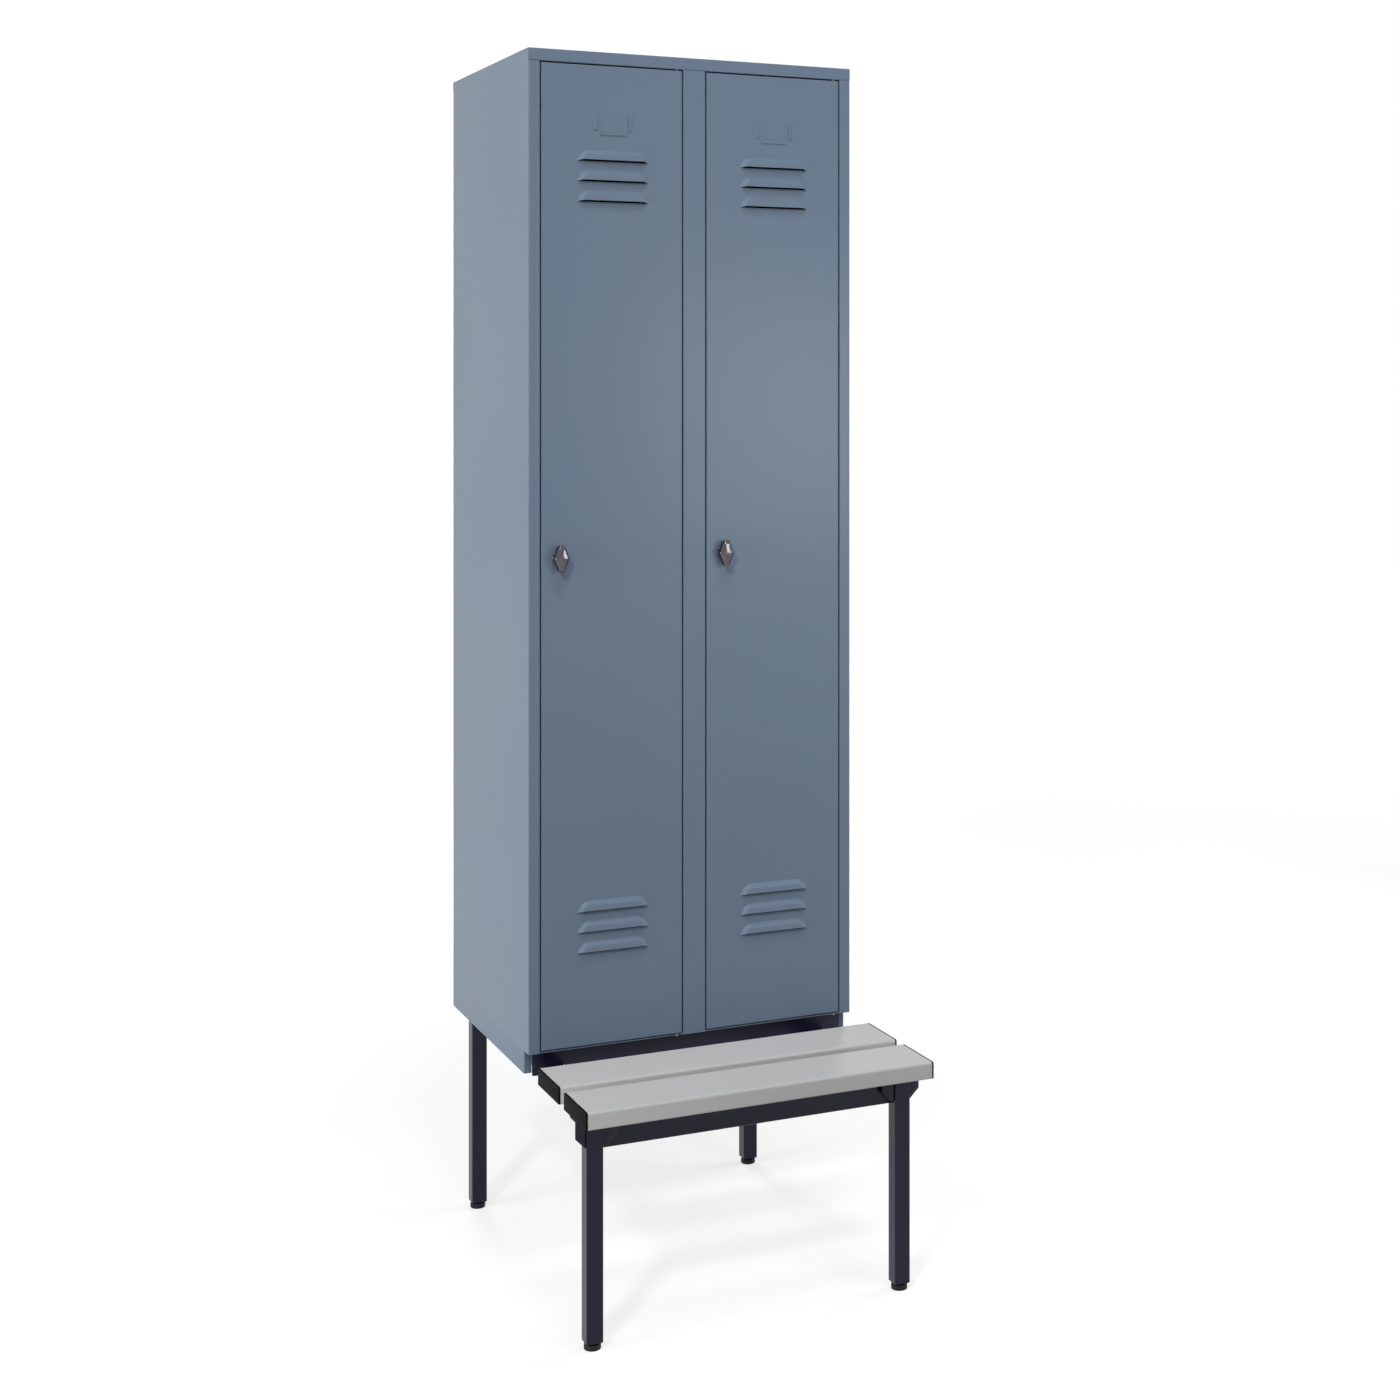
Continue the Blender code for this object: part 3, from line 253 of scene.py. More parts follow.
def fold_line(corners, thickness=SHEET, radius=FOLD_RADIUS):
    """A line folded at its inner corners. Its metal lies to the left, so a fold to the left is
    rounded by the outer radius and a fold to the right by the radius less the thickness."""
    corners = np.array(corners, float)
    before, corner, after = corners[:-2], corners[1:-1], corners[2:]
    into, out = corner - before, after - corner
    to_the_left = into[:, 0] * out[:, 1] - into[:, 1] * out[:, 0] > 0
    radii = np.where(to_the_left, radius, radius - thickness)
    return np.concatenate([corners[:1], arcs(before, corner, after, radii), corners[-1:]])


def rounded_polygon(corners, radius):
    """A closed loop through corners, rounded by one radius or by one for each."""
    corners = np.array(corners, float)
    radii = np.zeros(len(corners)) + radius
    return arcs(np.roll(corners, 1, axis=0), corners, np.roll(corners, -1, axis=0), radii)


def rectangle_loop(width, height, radius):
    """A rounded rectangle about the origin, from its low left corner round by its low right."""
    u, v = width / 2, height / 2
    return rounded_polygon([(-u, -v), (u, -v), (u, v), (-u, v)], radius)


def with_point_at(line, coordinate, value):
    """The line with a point added wherever it crosses a value of one coordinate."""
    start, end = line[:-1, coordinate] - value, line[1:, coordinate] - value
    crossing = np.flatnonzero(start * end < 0)
    share = start[crossing] / (start[crossing] - end[crossing])
    added = line[crossing] + share[:, None] * (line[crossing + 1] - line[crossing])
    return np.insert(line, crossing + 1, added, axis=0)


def mirrored(line):
    """The line on the other side of x = 0, run the other way so that its metal stays inside."""
    return line[::-1] * np.array([-1, 1])


def turned_over(made):
    """A surface mirrored in x, with its rows in the other order so that it still faces out."""
    points, keep, *closed = made
    return points[::-1] * np.array([-1, 1, 1]), None if keep is None else keep[::-1], *closed


def carried(line, axis, levels):
    """A flat line carried along an axis: rows follow the line and columns the levels. The line's
    two coordinates are those that follow the axis, in turn."""
    points = np.empty((len(line), len(levels), 3))
    points[..., (axis + 1) % 3] = line[:, 0, None]
    points[..., (axis + 2) % 3] = line[:, 1, None]
    points[..., axis] = levels
    return points


def cells_outside(points, *boxes):
    """True for the cells of a grid whose middle lies in none of the boxes."""
    middle = (points[:-1, :-1] + points[1:, :-1] + points[:-1, 1:] + points[1:, 1:]) / 4
    keep = np.ones(middle.shape[:2], bool)
    for low, high in boxes:
        keep &= ~np.all((middle > low) & (middle < high), axis=-1)
    return keep


def stacked(loops, axis, levels):
    """Closed loops at falling levels along an axis: rows are the levels, and columns go round."""
    points = np.empty((len(loops), len(loops[0]), 3))
    for row, (loop, level) in enumerate(zip(loops, levels)):
        points[row, :, (axis + 1) % 3] = loop[:, 0]
        points[row, :, (axis + 2) % 3] = loop[:, 1]
        points[row, :, axis] = level
    return points


def capped(points):
    """Closed loops with a fan to the middle of the first loop and of the last."""
    ends = [points[row].mean(axis=0) * np.ones_like(points[row]) for row in (0, -1)]
    return surface(np.concatenate([ends[:1], points, ends[1:]]), columns_closed=True)


def prism(outline, axis, low, high):
    """A plate between two levels of an axis, from a convex outline that runs anticlockwise."""
    outline = np.array(outline, float)
    return capped(stacked([outline, outline], axis, [high, low]))


def tube(low, high, axis):
    """An open tube that fills a box along an axis: the outer loop down, the inner loop back up,
    and a narrow ring at each end."""
    across = [(axis + 1) % 3, (axis + 2) % 3]
    size, middle = (high - low)[across], (low + high)[across] / 2
    outer = rectangle_loop(*size, TUBE_RADIUS)
    inner = rectangle_loop(*(size - 2 * TUBE_WALL), TUBE_INNER_RADIUS)
    trimmed = rectangle_loop(*(size - 2 * TUBE_RIM), TUBE_RADIUS - TUBE_RIM)
    loops = [trimmed, outer, outer, trimmed, inner, inner]
    first, last = high[axis], low[axis]
    levels = [first, first - TUBE_RIM, last + TUBE_RIM, last, last, first]
    points = stacked([loop + middle for loop in loops], axis, levels)
    return surface(points, rows_closed=True, columns_closed=True)


# The two directions that a turned piece's circles lie in, and the one that its heights follow
TURNING = {
    "up": ((1, 0, 0), (0, 1, 0), (0, 0, 1)),
    "down": ((1, 0, 0), (0, -1, 0), (0, 0, -1)),
    "forward": ((1, 0, 0), (0, 0, 1), (0, -1, 0)),
    "across": ((0, 1, 0), (0, 0, 1), (1, 0, 0)),
}


def turned(profile, centre, direction, sides=ROUND_SIDES):
    """(radius, height) points swung about an axis: centre + radius (cos a, sin a) + height. The
    outline runs down its outer side, so that the faces look out."""
    profile = np.array(profile, float)
    first, second, along = np.array(TURNING[direction], float)
    angle = np.linspace(0, 2 * math.pi, sides, endpoint=False)[:, None]
    spokes = np.cos(angle) * first + np.sin(angle) * second
    points = np.array(centre) + profile[:, 0, None, None] * spokes
    return points + profile[:, 1, None, None] * along


# Cabinet

panel_low, panel_high = box("side_panel_left")
roof_low, roof_high = box("top_panel")
floor_low, floor_high = box("floor_panel")
FRONT, BACK = panel_low[Y], panel_high[Y]
HALF_WIDTH = -panel_low[X]
TOP = roof_high[Z]
LINTEL_BOTTOM = roof_low[Z]
FLOOR_TOP = floor_high[Z]
FLOOR_UNDER = FLOOR_TOP - FLOOR_SHEET
RETURN_END = FRONT + FRAME_RETURN
STOP_REAR = RETURN_END + SHEET
FOLD_END = FRONT + FOLD_RADIUS
SKIRT_FRONT = FRONT + SKIRT_SETBACK
FAR = 10.0  # past every piece, where a cut has no other end


def side_panel(word):
    """Wall with a rear flange, a front jamb, and a skirt below whose front folds in behind. The
    left jamb carries the stop of the left door."""
    outer, jamb = -HALF_WIDTH, -HALF_WIDTH + JAMB
    corners = [
        (outer + REAR_FLANGE, BACK), (outer, BACK), (outer, FRONT), (jamb, FRONT),
        (jamb, RETURN_END),
    ]
    if word == "left":
        corners.append((jamb + STOP_LIP, RETURN_END))
    line = with_point_at(fold_line(corners), 1, SKIRT_FRONT + FOLD_RADIUS)
    low, high = panel_low[Z], panel_high[Z]
    corner_cut = TOP - REAR_FLANGE - GAP
    levels = [low, FLOOR_UNDER, FLOOR_TOP + GAP, LINTEL_BOTTOM - GAP, corner_cut, high]
    points = carried(line, Z, levels)
    keep = cells_outside(
        points,
        ((-FAR, -FAR, -FAR), (FAR, SKIRT_FRONT + FOLD_RADIUS, FLOOR_UNDER)),
        ((-FAR, -FAR, LINTEL_BOTTOM - GAP), (FAR, FOLD_END, FAR)),
        ((outer + FOLD_RADIUS, -FAR, LINTEL_BOTTOM - GAP), (FAR, 0, FAR)),
        ((outer + FOLD_RADIUS, FOLD_END, -FAR), (FAR, 0, FLOOR_TOP + GAP)),
        ((-FAR, BACK - FOLD_RADIUS, corner_cut), (FAR, FAR, FAR)),
    )
    skirt = fold_line([
        (outer, SKIRT_FRONT + 2 * FOLD_RADIUS + SOFT_EDGE), (outer, SKIRT_FRONT),
        (outer + SKIRT_FLANGE, SKIRT_FRONT),
    ])[2:]  # from the fold on, which is where the wall below the floor ends
    pieces = [surface(points, keep), surface(carried(skirt, Z, levels[:2]))]
    if word == "right":
        pieces = [turned_over(piece) for piece in pieces]
    dress(f"side_panel_{word}", pieces, SHEET)


def roof():
    """Top whose front folds down into the lintel and whose rear folds over the back."""
    line = fold_line([
        (BACK, TOP - REAR_FLANGE), (BACK, TOP), (FRONT, TOP), (FRONT, LINTEL_BOTTOM),
        (RETURN_END, LINTEL_BOTTOM),
    ])
    end = HALF_WIDTH - SHEET - GAP
    points = carried(line, X, [-HALF_WIDTH, -end, end, HALF_WIDTH])
    low, high = LINTEL_BOTTOM - SHEET, LINTEL_BOTTOM + SHEET
    keep = cells_outside(
        points,
        ((-FAR, FOLD_END, low), (-end, 0, high)),
        ((end, FOLD_END, low), (FAR, 0, high)),
    )
    dress("top_panel", [surface(points, keep)], SHEET)


def floor():
    """Floor of the compartments, with a flange down each side."""
    outer, low = floor_high[X], FLOOR_TOP - FLOOR_FLANGE
    line = fold_line(
        [(low, -outer), (FLOOR_TOP, -outer), (FLOOR_TOP, outer), (low, outer)],
        FLOOR_SHEET, FLOOR_FOLD_RADIUS,
    )
    flange_front = SKIRT_FRONT + SHEET + GAP
    points = carried(line, Y, [floor_low[Y], flange_front, floor_high[Y]])
    keep = cells_outside(points, ((-FAR, -FAR, -FAR), (FAR, flange_front, FLOOR_UNDER)))
    dress("floor_panel", [surface(points, keep)], FLOOR_SHEET)


def partition():
    """Wall between the compartments, folded in front into the post and the right door's stop."""
    low, high = box("partition")
    rear = high[Y]
    line = fold_line([
        (PARTITION_FLANGE, rear), (-SHEET / 2, rear), (-SHEET / 2, STOP_REAR),
        (-POST_HALF, STOP_REAR), (-POST_HALF, FRONT), (POST_HALF, FRONT),
        (POST_HALF, RETURN_END), (POST_HALF + STOP_LIP, RETURN_END),
    ])
    points = carried(line, Z, [low[Z], FLOOR_TOP + GAP, LINTEL_BOTTOM - GAP, high[Z]])
    keep = cells_outside(
        points,
        ((-FAR, FOLD_END, -FAR), (FAR, FAR, FLOOR_TOP + GAP)),
        ((-FAR, -FAR, LINTEL_BOTTOM - GAP), (FAR, STOP_REAR + GAP, FAR)),
    )
    dress("partition", [surface(points, keep)], SHEET)


def hat_shelf(word):
    """Shelf with its front and its rear folded down."""
    low, high = box(f"hat_shelf_{word}")
    line = fold_line([
        (high[Y], low[Z]), (high[Y], high[Z]), (low[Y], high[Z]), (low[Y], low[Z]),
    ])
    dress(f"hat_shelf_{word}", [surface(carried(line, X, [low[X], high[X]]))], SHEET)


def coat_rail(word):
    """Tube with a pressed disc on each end."""
    low, high = box(f"coat_rail_{word}")
    half, disc = (high[X] - low[X]) / 2, (high[Y] - low[Y]) / 2
    radius, bore, thick, edge = 0.0075, 0.0063, 0.002, 0.0005
    web = half - thick
    end = [
        (bore, half), (disc - edge, half), (disc, half - edge), (disc, web + edge),
        (disc - edge, web), (radius + 2 * edge, web), (radius, web - 2 * edge),
    ]
    other_end = [(out, -along) for out, along in reversed(end)]
    points = turned(end + other_end, (low + high) / 2, "across")
    dress(f"coat_rail_{word}", [surface(points, rows_closed=True, columns_closed=True)])


def wire(path, radii, x):
    """Round wire along a path in a YZ plane: each point plus its radius times (cos a of the
    path's own normal + sin a of X). The wire ends where its radius is zero."""
    step = np.gradient(path, axis=0)
    step /= np.linalg.norm(step, axis=1, keepdims=True)
    angle = np.linspace(0, 2 * math.pi, WIRE_SIDES, endpoint=False)
    points = np.empty((len(path), len(angle), 3))
    points[..., X] = x + radii[:, None] * np.sin(angle)
    points[..., Y] = path[:, 0, None] + radii[:, None] * np.cos(angle) * step[:, 1, None]
    points[..., Z] = path[:, 1, None] - radii[:, None] * np.cos(angle) * step[:, 0, None]
    return points


def coat_hook(node):
    """Closed eye round the rail, a stem, and a bend open to the front, all of one wire."""
    low, high = box(node)
    radius, x = (high[X] - low[X]) / 2, (low[X] + high[X]) / 2
    eye, stem, bend, tip = 0.0102, 0.018, 0.011, 0.008
    y, z = high[Y] - radius - eye, high[Z] - radius - eye
    angle = np.linspace(0, 2 * math.pi, RING_STEPS, endpoint=False)
    circle = np.stack([y + eye * np.sin(angle), z + eye * np.cos(angle)], axis=-1)
    circle = np.concatenate([circle[-1:], circle, circle[:1]])
    ring = wire(circle, np.full(len(circle), radius), x)[1:-1]
    half_turn = np.linspace(0, math.pi, BEND_STEPS + 1)
    quarter_turn = half_turn[:BEND_STEPS // 2 + 1]
    top, bottom, front = z - eye, z - eye - stem, y - 2 * bend
    run = [(y, top), (y, (top + bottom) / 2)]
    curve = np.stack([y + bend * (np.cos(half_turn) - 1), bottom - bend * np.sin(half_turn)], -1)
    end = np.array([(front, bottom + tip / 2), (front, bottom + tip - radius)])
    round_end = end[-1] + np.outer(radius * np.sin(quarter_turn), (0, 1))
    path = np.concatenate([run, curve, end, round_end[1:]])
    radii = np.full(len(path), radius)
    radii[1 - len(quarter_turn):] = radius * np.cos(quarter_turn[1:])
    hook = wire(path, radii, x)
    flat_start = np.ones_like(hook[:1]) * (x, y, top)
    dress(node, [
        surface(ring, rows_closed=True, columns_closed=True),
        surface(np.concatenate([flat_start, hook]), columns_closed=True),
    ], crease=WIRE_CREASE_ANGLE)


# Doors

def smaller(a, b, softness):
    """The smaller of two heights, blended by a parabola where they are nearly equal."""
    near = np.maximum(softness - np.abs(a - b), 0)
    return np.minimum(a, b) - near ** 2 / (4 * softness)


def louvre_height(x, up):
    """How far a louvre stands out, as a share of its reach. A sloped band climbs from its outline
    by the distance to it, R - hypot(R - u, R - v) at a corner of radius R and min(u, v)
    elsewhere, until it meets the face, which climbs more gently down to the lip. The height is
    never below zero."""
    taper = LOUVRE_CREST_WIDTH - LOUVRE_FOOT_WIDTH
    half = (LOUVRE_FOOT_WIDTH + taper * np.clip(up, 0, 1)) / 2
    inward, below = np.broadcast_arrays(half - np.abs(x), LOUVRE_HEIGHT * (1 - up))
    to_corner = np.hypot(LOUVRE_CORNER - inward, LOUVRE_CORNER - below)
    cornered = (inward < LOUVRE_CORNER) & (below < LOUVRE_CORNER)
    distance = np.where(cornered, LOUVRE_CORNER - to_corner, np.minimum(inward, below))
    band = distance / (LOUVRE_HEIGHT * (1 - CREASE_HEIGHT_SHARE)) * CREASE_REACH_SHARE
    face = 1 - up / CREASE_HEIGHT_SHARE * (1 - CREASE_REACH_SHARE)
    height = smaller(band, face, CREASE_SOFTNESS_SHARE)
    return -smaller(-height, np.zeros_like(height), FOOT_SOFTNESS_SHARE)


def door_skin(left, right, low, high):
    """Skin with pressed louvres: a grid in x and z whose depth is the front less the louvres'
    height. A louvre's lower rows are lifted by their height, which opens a slot under its lip,
    and the cells across the cut are left out."""
    middle, inset = (left + right) / 2, FOLD_RADIUS
    slope = (LOUVRE_FOOT_WIDTH - LOUVRE_CREST_WIDTH) / 2
    inward = np.arange(0, slope + 3 * LOUVRE_CORNER, LOUVRE_STEP)
    ends = LOUVRE_FOOT_WIDTH / 2 + 2 * SOFT_EDGE - inward
    x = np.concatenate([
        [left + inset, left + inset + SOFT_EDGE], middle - ends, [middle],
        middle + ends[::-1], [right - inset - SOFT_EDGE, right - inset],
    ])
    stack = (LOUVRE_COUNT - 1) * LOUVRE_PITCH
    lowest_cuts = [low + LOWER_MARGIN, high - UPPER_MARGIN - LOUVRE_HEIGHT - stack]
    cuts = np.add.outer(lowest_cuts, LOUVRE_PITCH * np.arange(LOUVRE_COUNT)).reshape(-1)
    rise = np.concatenate([
        np.arange(0, LOUVRE_HEIGHT + 3 * SOFT_EDGE, LOUVRE_STEP),
        [-SHEAR_GAP, -SHEAR_GAP - SOFT_EDGE],
    ])
    z = np.unique(np.concatenate([
        [low + inset, low + inset + SOFT_EDGE, high - inset - SOFT_EDGE, high - inset],
        np.add.outer(cuts, rise).reshape(-1),
    ]))
    points = np.empty((len(x), len(z), 3))
    points[..., X], points[..., Y], points[..., Z] = x[:, None], FRONT, z
    keep = np.ones((len(x) - 1, len(z) - 1), bool)
    centre_x, centre_z = (x[1:] + x[:-1]) / 2 - middle, (z[1:] + z[:-1]) / 2
    for cut in cuts:
        up = (z - cut) / LOUVRE_HEIGHT
        here = (up > -ROW_TOLERANCE) & (up < LOUVRE_ROWS_END)
        height = louvre_height((x - middle)[:, None], up[here])
        points[:, here, Y] -= LOUVRE_REACH * height
        points[:, here, Z] += LOUVRE_LIFT * height * np.clip(1 - up[here], 0, 1)
        slot = (centre_z > cut - SHEAR_GAP) & (centre_z < cut)
        keep &= ~((np.abs(centre_x) < LOUVRE_FOOT_WIDTH / 2)[:, None] & slot)
    return points, keep


def door_edge(skin):
    """The pan round the skin: its rim rounded back, its sides, and a lip folded in behind. Each
    row is the skin's rim moved out and back by one step of the section, mitred at the corners."""
    rim = np.concatenate([skin[:-1, 0], skin[-1, :-1], skin[:0:-1, -1], skin[0, :0:-1]])
    columns, rows = skin.shape[:2]
    right, top, left = columns - 1, columns + rows - 2, 2 * columns + rows - 3
    out = np.zeros_like(rim)
    out[:right, Z] = -1
    out[right:top, X] = 1
    out[top:left, Z] = 1
    out[left:, X] = -1
    out[[0, right, top, left]] = (-1, 0, -1), (1, 0, -1), (1, 0, 1), (-1, 0, 1)
    radius, angle = FOLD_RADIUS, QUARTER_TURN
    away = np.concatenate([
        radius * np.sin(angle), [radius, radius], radius * np.cos(angle),
        [-SOFT_EDGE, radius - DOOR_LIP],
    ])
    back = np.concatenate([
        radius * (1 - np.cos(angle)), [radius + SOFT_EDGE, DOOR_DEPTH - radius - SOFT_EDGE],
        DOOR_DEPTH - radius * (1 - np.sin(angle)), [DOOR_DEPTH, DOOR_DEPTH],
    ])
    points = rim + away[:, None, None] * out
    points[..., Y] += back[:, None]
    return points


def card_lips(left, right, high):
    """Three small folded lips that hold a name card: one at each side and one below."""
    middle, height = (left + right) / 2, high - CARD_DROP
    off, root = FRONT - CARD_STAND_OFF, FRONT + SHEET / 2
    edge, foot = CARD_WIDTH / 2, height - CARD_FOOT_DROP
    line = fold_line(
        [(-edge, root), (-edge, off), (-edge + CARD_LIP, off)], CARD_SHEET, CARD_FOLD_RADIUS
    )
    levels = [height - CARD_LIP_HEIGHT / 2, height + CARD_LIP_HEIGHT / 2]
    lips = [carried(part + (middle, 0), Z, levels) for part in (line, mirrored(line))]
    line = fold_line(
        [(off, foot + CARD_LIP), (off, foot), (root, foot)], CARD_SHEET, CARD_FOLD_RADIUS
    )
    levels = [middle - CARD_FOOT_WIDTH / 2, middle + CARD_FOOT_WIDTH / 2]
    return lips + [carried(line, X, levels)]


def door(word):
    """Pan with its louvres, and the lips of its card holder as a second shown piece."""
    low, high = box(f"door_{word}")
    skin, keep = door_skin(low[X], high[X], low[Z], high[Z])
    pan = [surface(skin, keep), surface(door_edge(skin), columns_closed=True)]
    dress(f"door_{word}", pan, SHEET)
    lips = [surface(points) for points in card_lips(low[X], high[X], high[Z])]
    dress(f"door_{word}", lips, CARD_SHEET, part="card_lips")


def door_stiffener(word):
    """Hat channel on the back of the skin."""
    low, high = box(f"door_stiffener_{word}")
    middle, edge, web = (low[X] + high[X]) / 2, (high[X] - low[X]) / 2, 0.018
    near, far = low[Y], high[Y] - SHEET
    line = fold_line([
        (-edge, near), (-web, near), (-web, far), (web, far), (web, near), (edge, near),
    ]) + (middle, 0)
    dress(f"door_stiffener_{word}", [surface(carried(line, Z, [low[Z], high[Z]]))], SHEET)


# Knob and its ring

def rosette(word):
    """Raised ring round the spindle, its neck through the skin and a collar behind."""
    low, high = box(f"lock_rosette_{word}")
    centre = (low + high) / 2
    centre[Y] = FRONT
    radius, neck, collar, bore, soft = (high[X] - low[X]) / 2, 0.0088, 0.0115, 0.0043, 0.0012
    top, inside, rear = FRONT - low[Y], -SHEET - GAP, FRONT - high[Y]
    rounded = [
        (radius - soft + soft * math.sin(a), top - soft + soft * math.cos(a))
        for a in QUARTER_TURN
    ]
    profile = [
        (bore, top), (radius - 4 * soft, top), *rounded, (radius, GAP), (neck, GAP),
        (neck, inside), (collar, inside), (collar, rear), (bore, rear),
    ]
    points = turned(profile, centre, "forward", ROSETTE_SIDES)
    dress(f"lock_rosette_{word}", [surface(points, rows_closed=True, columns_closed=True)])


def knob(word):
    """Six-sided grip, tall and narrow: a rounded back, a straight flank, a bevel and a flat face.
    It sits on a spindle with a square and a threaded end."""
    low, high = box(f"turn_knob_{word}")
    x, z = (low[X] + high[X]) / 2, (low[Z] + high[Z]) / 2
    tall, wide = (high[Z] - low[Z]) / 2, (high[X] - low[X]) / 2
    depth, flat = 0.017, 0.0042
    back = low[Y] + depth
    corners = np.array([
        (-flat, -tall), (flat, -tall), (wide, 0), (flat, tall), (-flat, tall), (-wide, 0),
    ])
    sections = (  # share of the depth, share of the outline, radius of the outline's corners
        (1.00, 0.68, 0.0012), (0.99, 0.71, 0.0013), (0.975, 0.735, 0.0014),
        (0.815, 0.98, 0.0024), (0.80, 0.992, 0.0025), (0.77, 1.00, 0.0026),
        (0.45, 1.00, 0.0038), (0.20, 0.98, 0.0048), (0.05, 0.95, 0.0055), (0.00, 0.90, 0.0060),
    )
    loops = np.array([rounded_polygon(corners * size, radius) for _, size, radius in sections])
    levels = np.array([share * depth for share, _, _ in sections])
    grip = np.empty((*loops.shape[:2], 3))
    grip[..., X] = x + loops[..., 0]
    grip[..., Y] = back - levels[:, None]
    grip[..., Z] = z + loops[..., 1]
    spindle, thread, thread_length = 0.004, 0.0025, 0.0045
    reach = back - high[Y]
    square_end = reach + thread_length
    profile = [
        (0, depth / 2), (spindle, depth / 2), (spindle, square_end), (thread, square_end),
        (thread, reach + thread / 4), (thread * 3 / 4, reach), (0, reach),
    ]
    shaft = surface(turned(profile, (x, back, z), "forward", SHAFT_SIDES), columns_closed=True)
    dress(f"turn_knob_{word}", [capped(grip), shaft], crease=KNOB_CREASE_ANGLE)


# Stand

def cross_tube(node, axis):
    """Tube of the stand that lies level."""
    dress(node, [tube(*box(node), axis)])


def leg(row, word):
    """Square tube with a plate at its foot."""
    low, high = box(f"{row}_leg_{word}")
    play, corner, plate_top = 0.0035, 0.001, 0.004
    inner = rectangle_loop(*((high - low)[:2] - play), corner) + (low + high)[:2] / 2
    plate = stacked([inner, inner], Z, [low[Z] + plate_top, low[Z] + GAP])
    dress(f"{row}_leg_{word}", [tube(low, high, Z), capped(plate)])


def cabinet_rails():
    """Angles under the cabinet's floor. The front one is notched over the two bearers, and a
    plate stands back from each of its ends."""
    low, high = box("cabinet_rail_front")
    rear_low, rear_high = box("cabinet_rail_rear")
    notch_top, plate_setback = rear_low[Z], 0.001
    line = fold_line(
        [(high[Y], high[Z]), (low[Y], high[Z]), (low[Y], low[Z])], RAIL_SHEET, RAIL_FOLD_RADIUS
    )
    line = with_point_at(line, 1, notch_top)
    bearer_low, bearer_high = box("side_bearer_right")
    near, far = bearer_low[X] - GAP, bearer_high[X] + GAP
    points = carried(line, X, [low[X], -far, -near, near, far, high[X]])
    keep = cells_outside(
        points,
        ((-far, -FAR, -FAR), (-near, FAR, notch_top)),
        ((near, -FAR, -FAR), (far, FAR, notch_top)),
    )
    dress("cabinet_rail_front", [surface(points, keep)], RAIL_SHEET, edge=RAIL_EDGE)
    front, rear = low[Y] + plate_setback, SKIRT_FRONT - GAP
    for word, side in SIDES.items():
        near, end = sorted((side * (high[X] - RAIL_SHEET), side * high[X]))
        outline = [(near, front), (end, front), (end, rear), (near, rear)]
        plate = prism(outline, Z, low[Z], high[Z] - RAIL_SHEET)
        dress("cabinet_rail_front", [plate], edge=PLATE_EDGE, part=f"{word}_return")
    low, high = rear_low, rear_high
    line = fold_line(
        [(high[Y], low[Z]), (high[Y], high[Z]), (low[Y], high[Z])], RAIL_SHEET, RAIL_FOLD_RADIUS
    )
    rail = surface(carried(line, X, [low[X], high[X]]))
    dress("cabinet_rail_rear", [rail], RAIL_SHEET, edge=RAIL_EDGE)


def bench_bracket(word):
    """Plate on a front leg, with a wing down each side of the leg that tapers at its foot."""
    low, high = box(f"bench_bracket_{word}")
    leg_low, leg_high = box(f"front_leg_{word}")
    thickness, taper, inset = 0.003, 0.016, 0.0006
    front, under = leg_low[Y] + thickness, high[Z] - thickness
    flat = [(low[X], low[Y]), (high[X], low[Y]), (high[X], high[Y]), (low[X], high[Y])]
    pieces = [prism(flat, Z, under, high[Z])]
    for near, tip, out in (
        (leg_low[X] - GAP, low[X] + inset, -1),
        (leg_high[X] + GAP, high[X] - inset, 1),
    ):
        outline = [
            (under + GAP, near), (under + GAP, tip), (low[Z] + taper, tip),
            (low[Z], tip - out * taper), (low[Z], near),
        ]
        pieces.append(prism(outline[::out], Y, front, front + thickness))
    dress(f"bench_bracket_{word}", pieces, edge=PLATE_EDGE)


def levelling_foot(row, word):
    """Moulded pad with a soft rim, a steel neck and the screw that runs up into the leg."""
    low, high = box(f"levelling_foot_{row}_{word}")
    centre = (low + high) / 2
    centre[Z] = 0
    radius, top = (high[X] - low[X]) / 2, high[Z]
    pad, neck_top, neck, stem, soft = 0.009, 0.0117, 0.008, 0.004, 0.0018
    stem_edge, neck_edge, fillet_rise, fillet_width = 0.0008, 0.0006, 0.0004, 0.001
    rim = [
        (radius - soft + soft * math.sin(a), pad - soft + soft * math.cos(a))
        for a in QUARTER_TURN
    ]
    sole = [
        (radius - soft + soft * math.cos(a), soft - soft * math.sin(a)) for a in QUARTER_TURN
    ]
    profile = [
        (0, top), (stem - stem_edge, top), (stem, top - stem_edge), (stem, neck_top),
        (neck - neck_edge, neck_top), (neck, neck_top - neck_edge), (neck, pad + fillet_rise),
        (neck + fillet_width, pad), *rim, *sole, (0, 0),
    ]
    points = turned(profile, centre, "up")
    dress(f"levelling_foot_{row}_{word}", [surface(points, columns_closed=True)])


# Bench

def slat_loop(size, inset=0.0):
    """A slat's outline in (y, z), drawn in by an inset: wide, with soft upper corners and tighter
    lower ones."""
    radii = np.repeat([SLAT_LOW_RADIUS, SLAT_TOP_RADIUS], 2)
    return rectangle_loop(*(size - 2 * inset), radii - inset)


def slat(row):
    """Slat with a fine edge round each end."""
    low, high = box(f"seat_slat_{row}")
    size, middle = (high - low)[Y:], ((low + high) / 2)[Y:]
    inset, rim = 0.0002, 0.0003
    loop, trimmed = slat_loop(size) + middle, slat_loop(size, inset) + middle
    levels = [high[X], high[X] - rim, low[X] + rim, low[X]]
    dress(f"seat_slat_{row}", [capped(stacked([trimmed, loop, loop, trimmed], X, levels))])


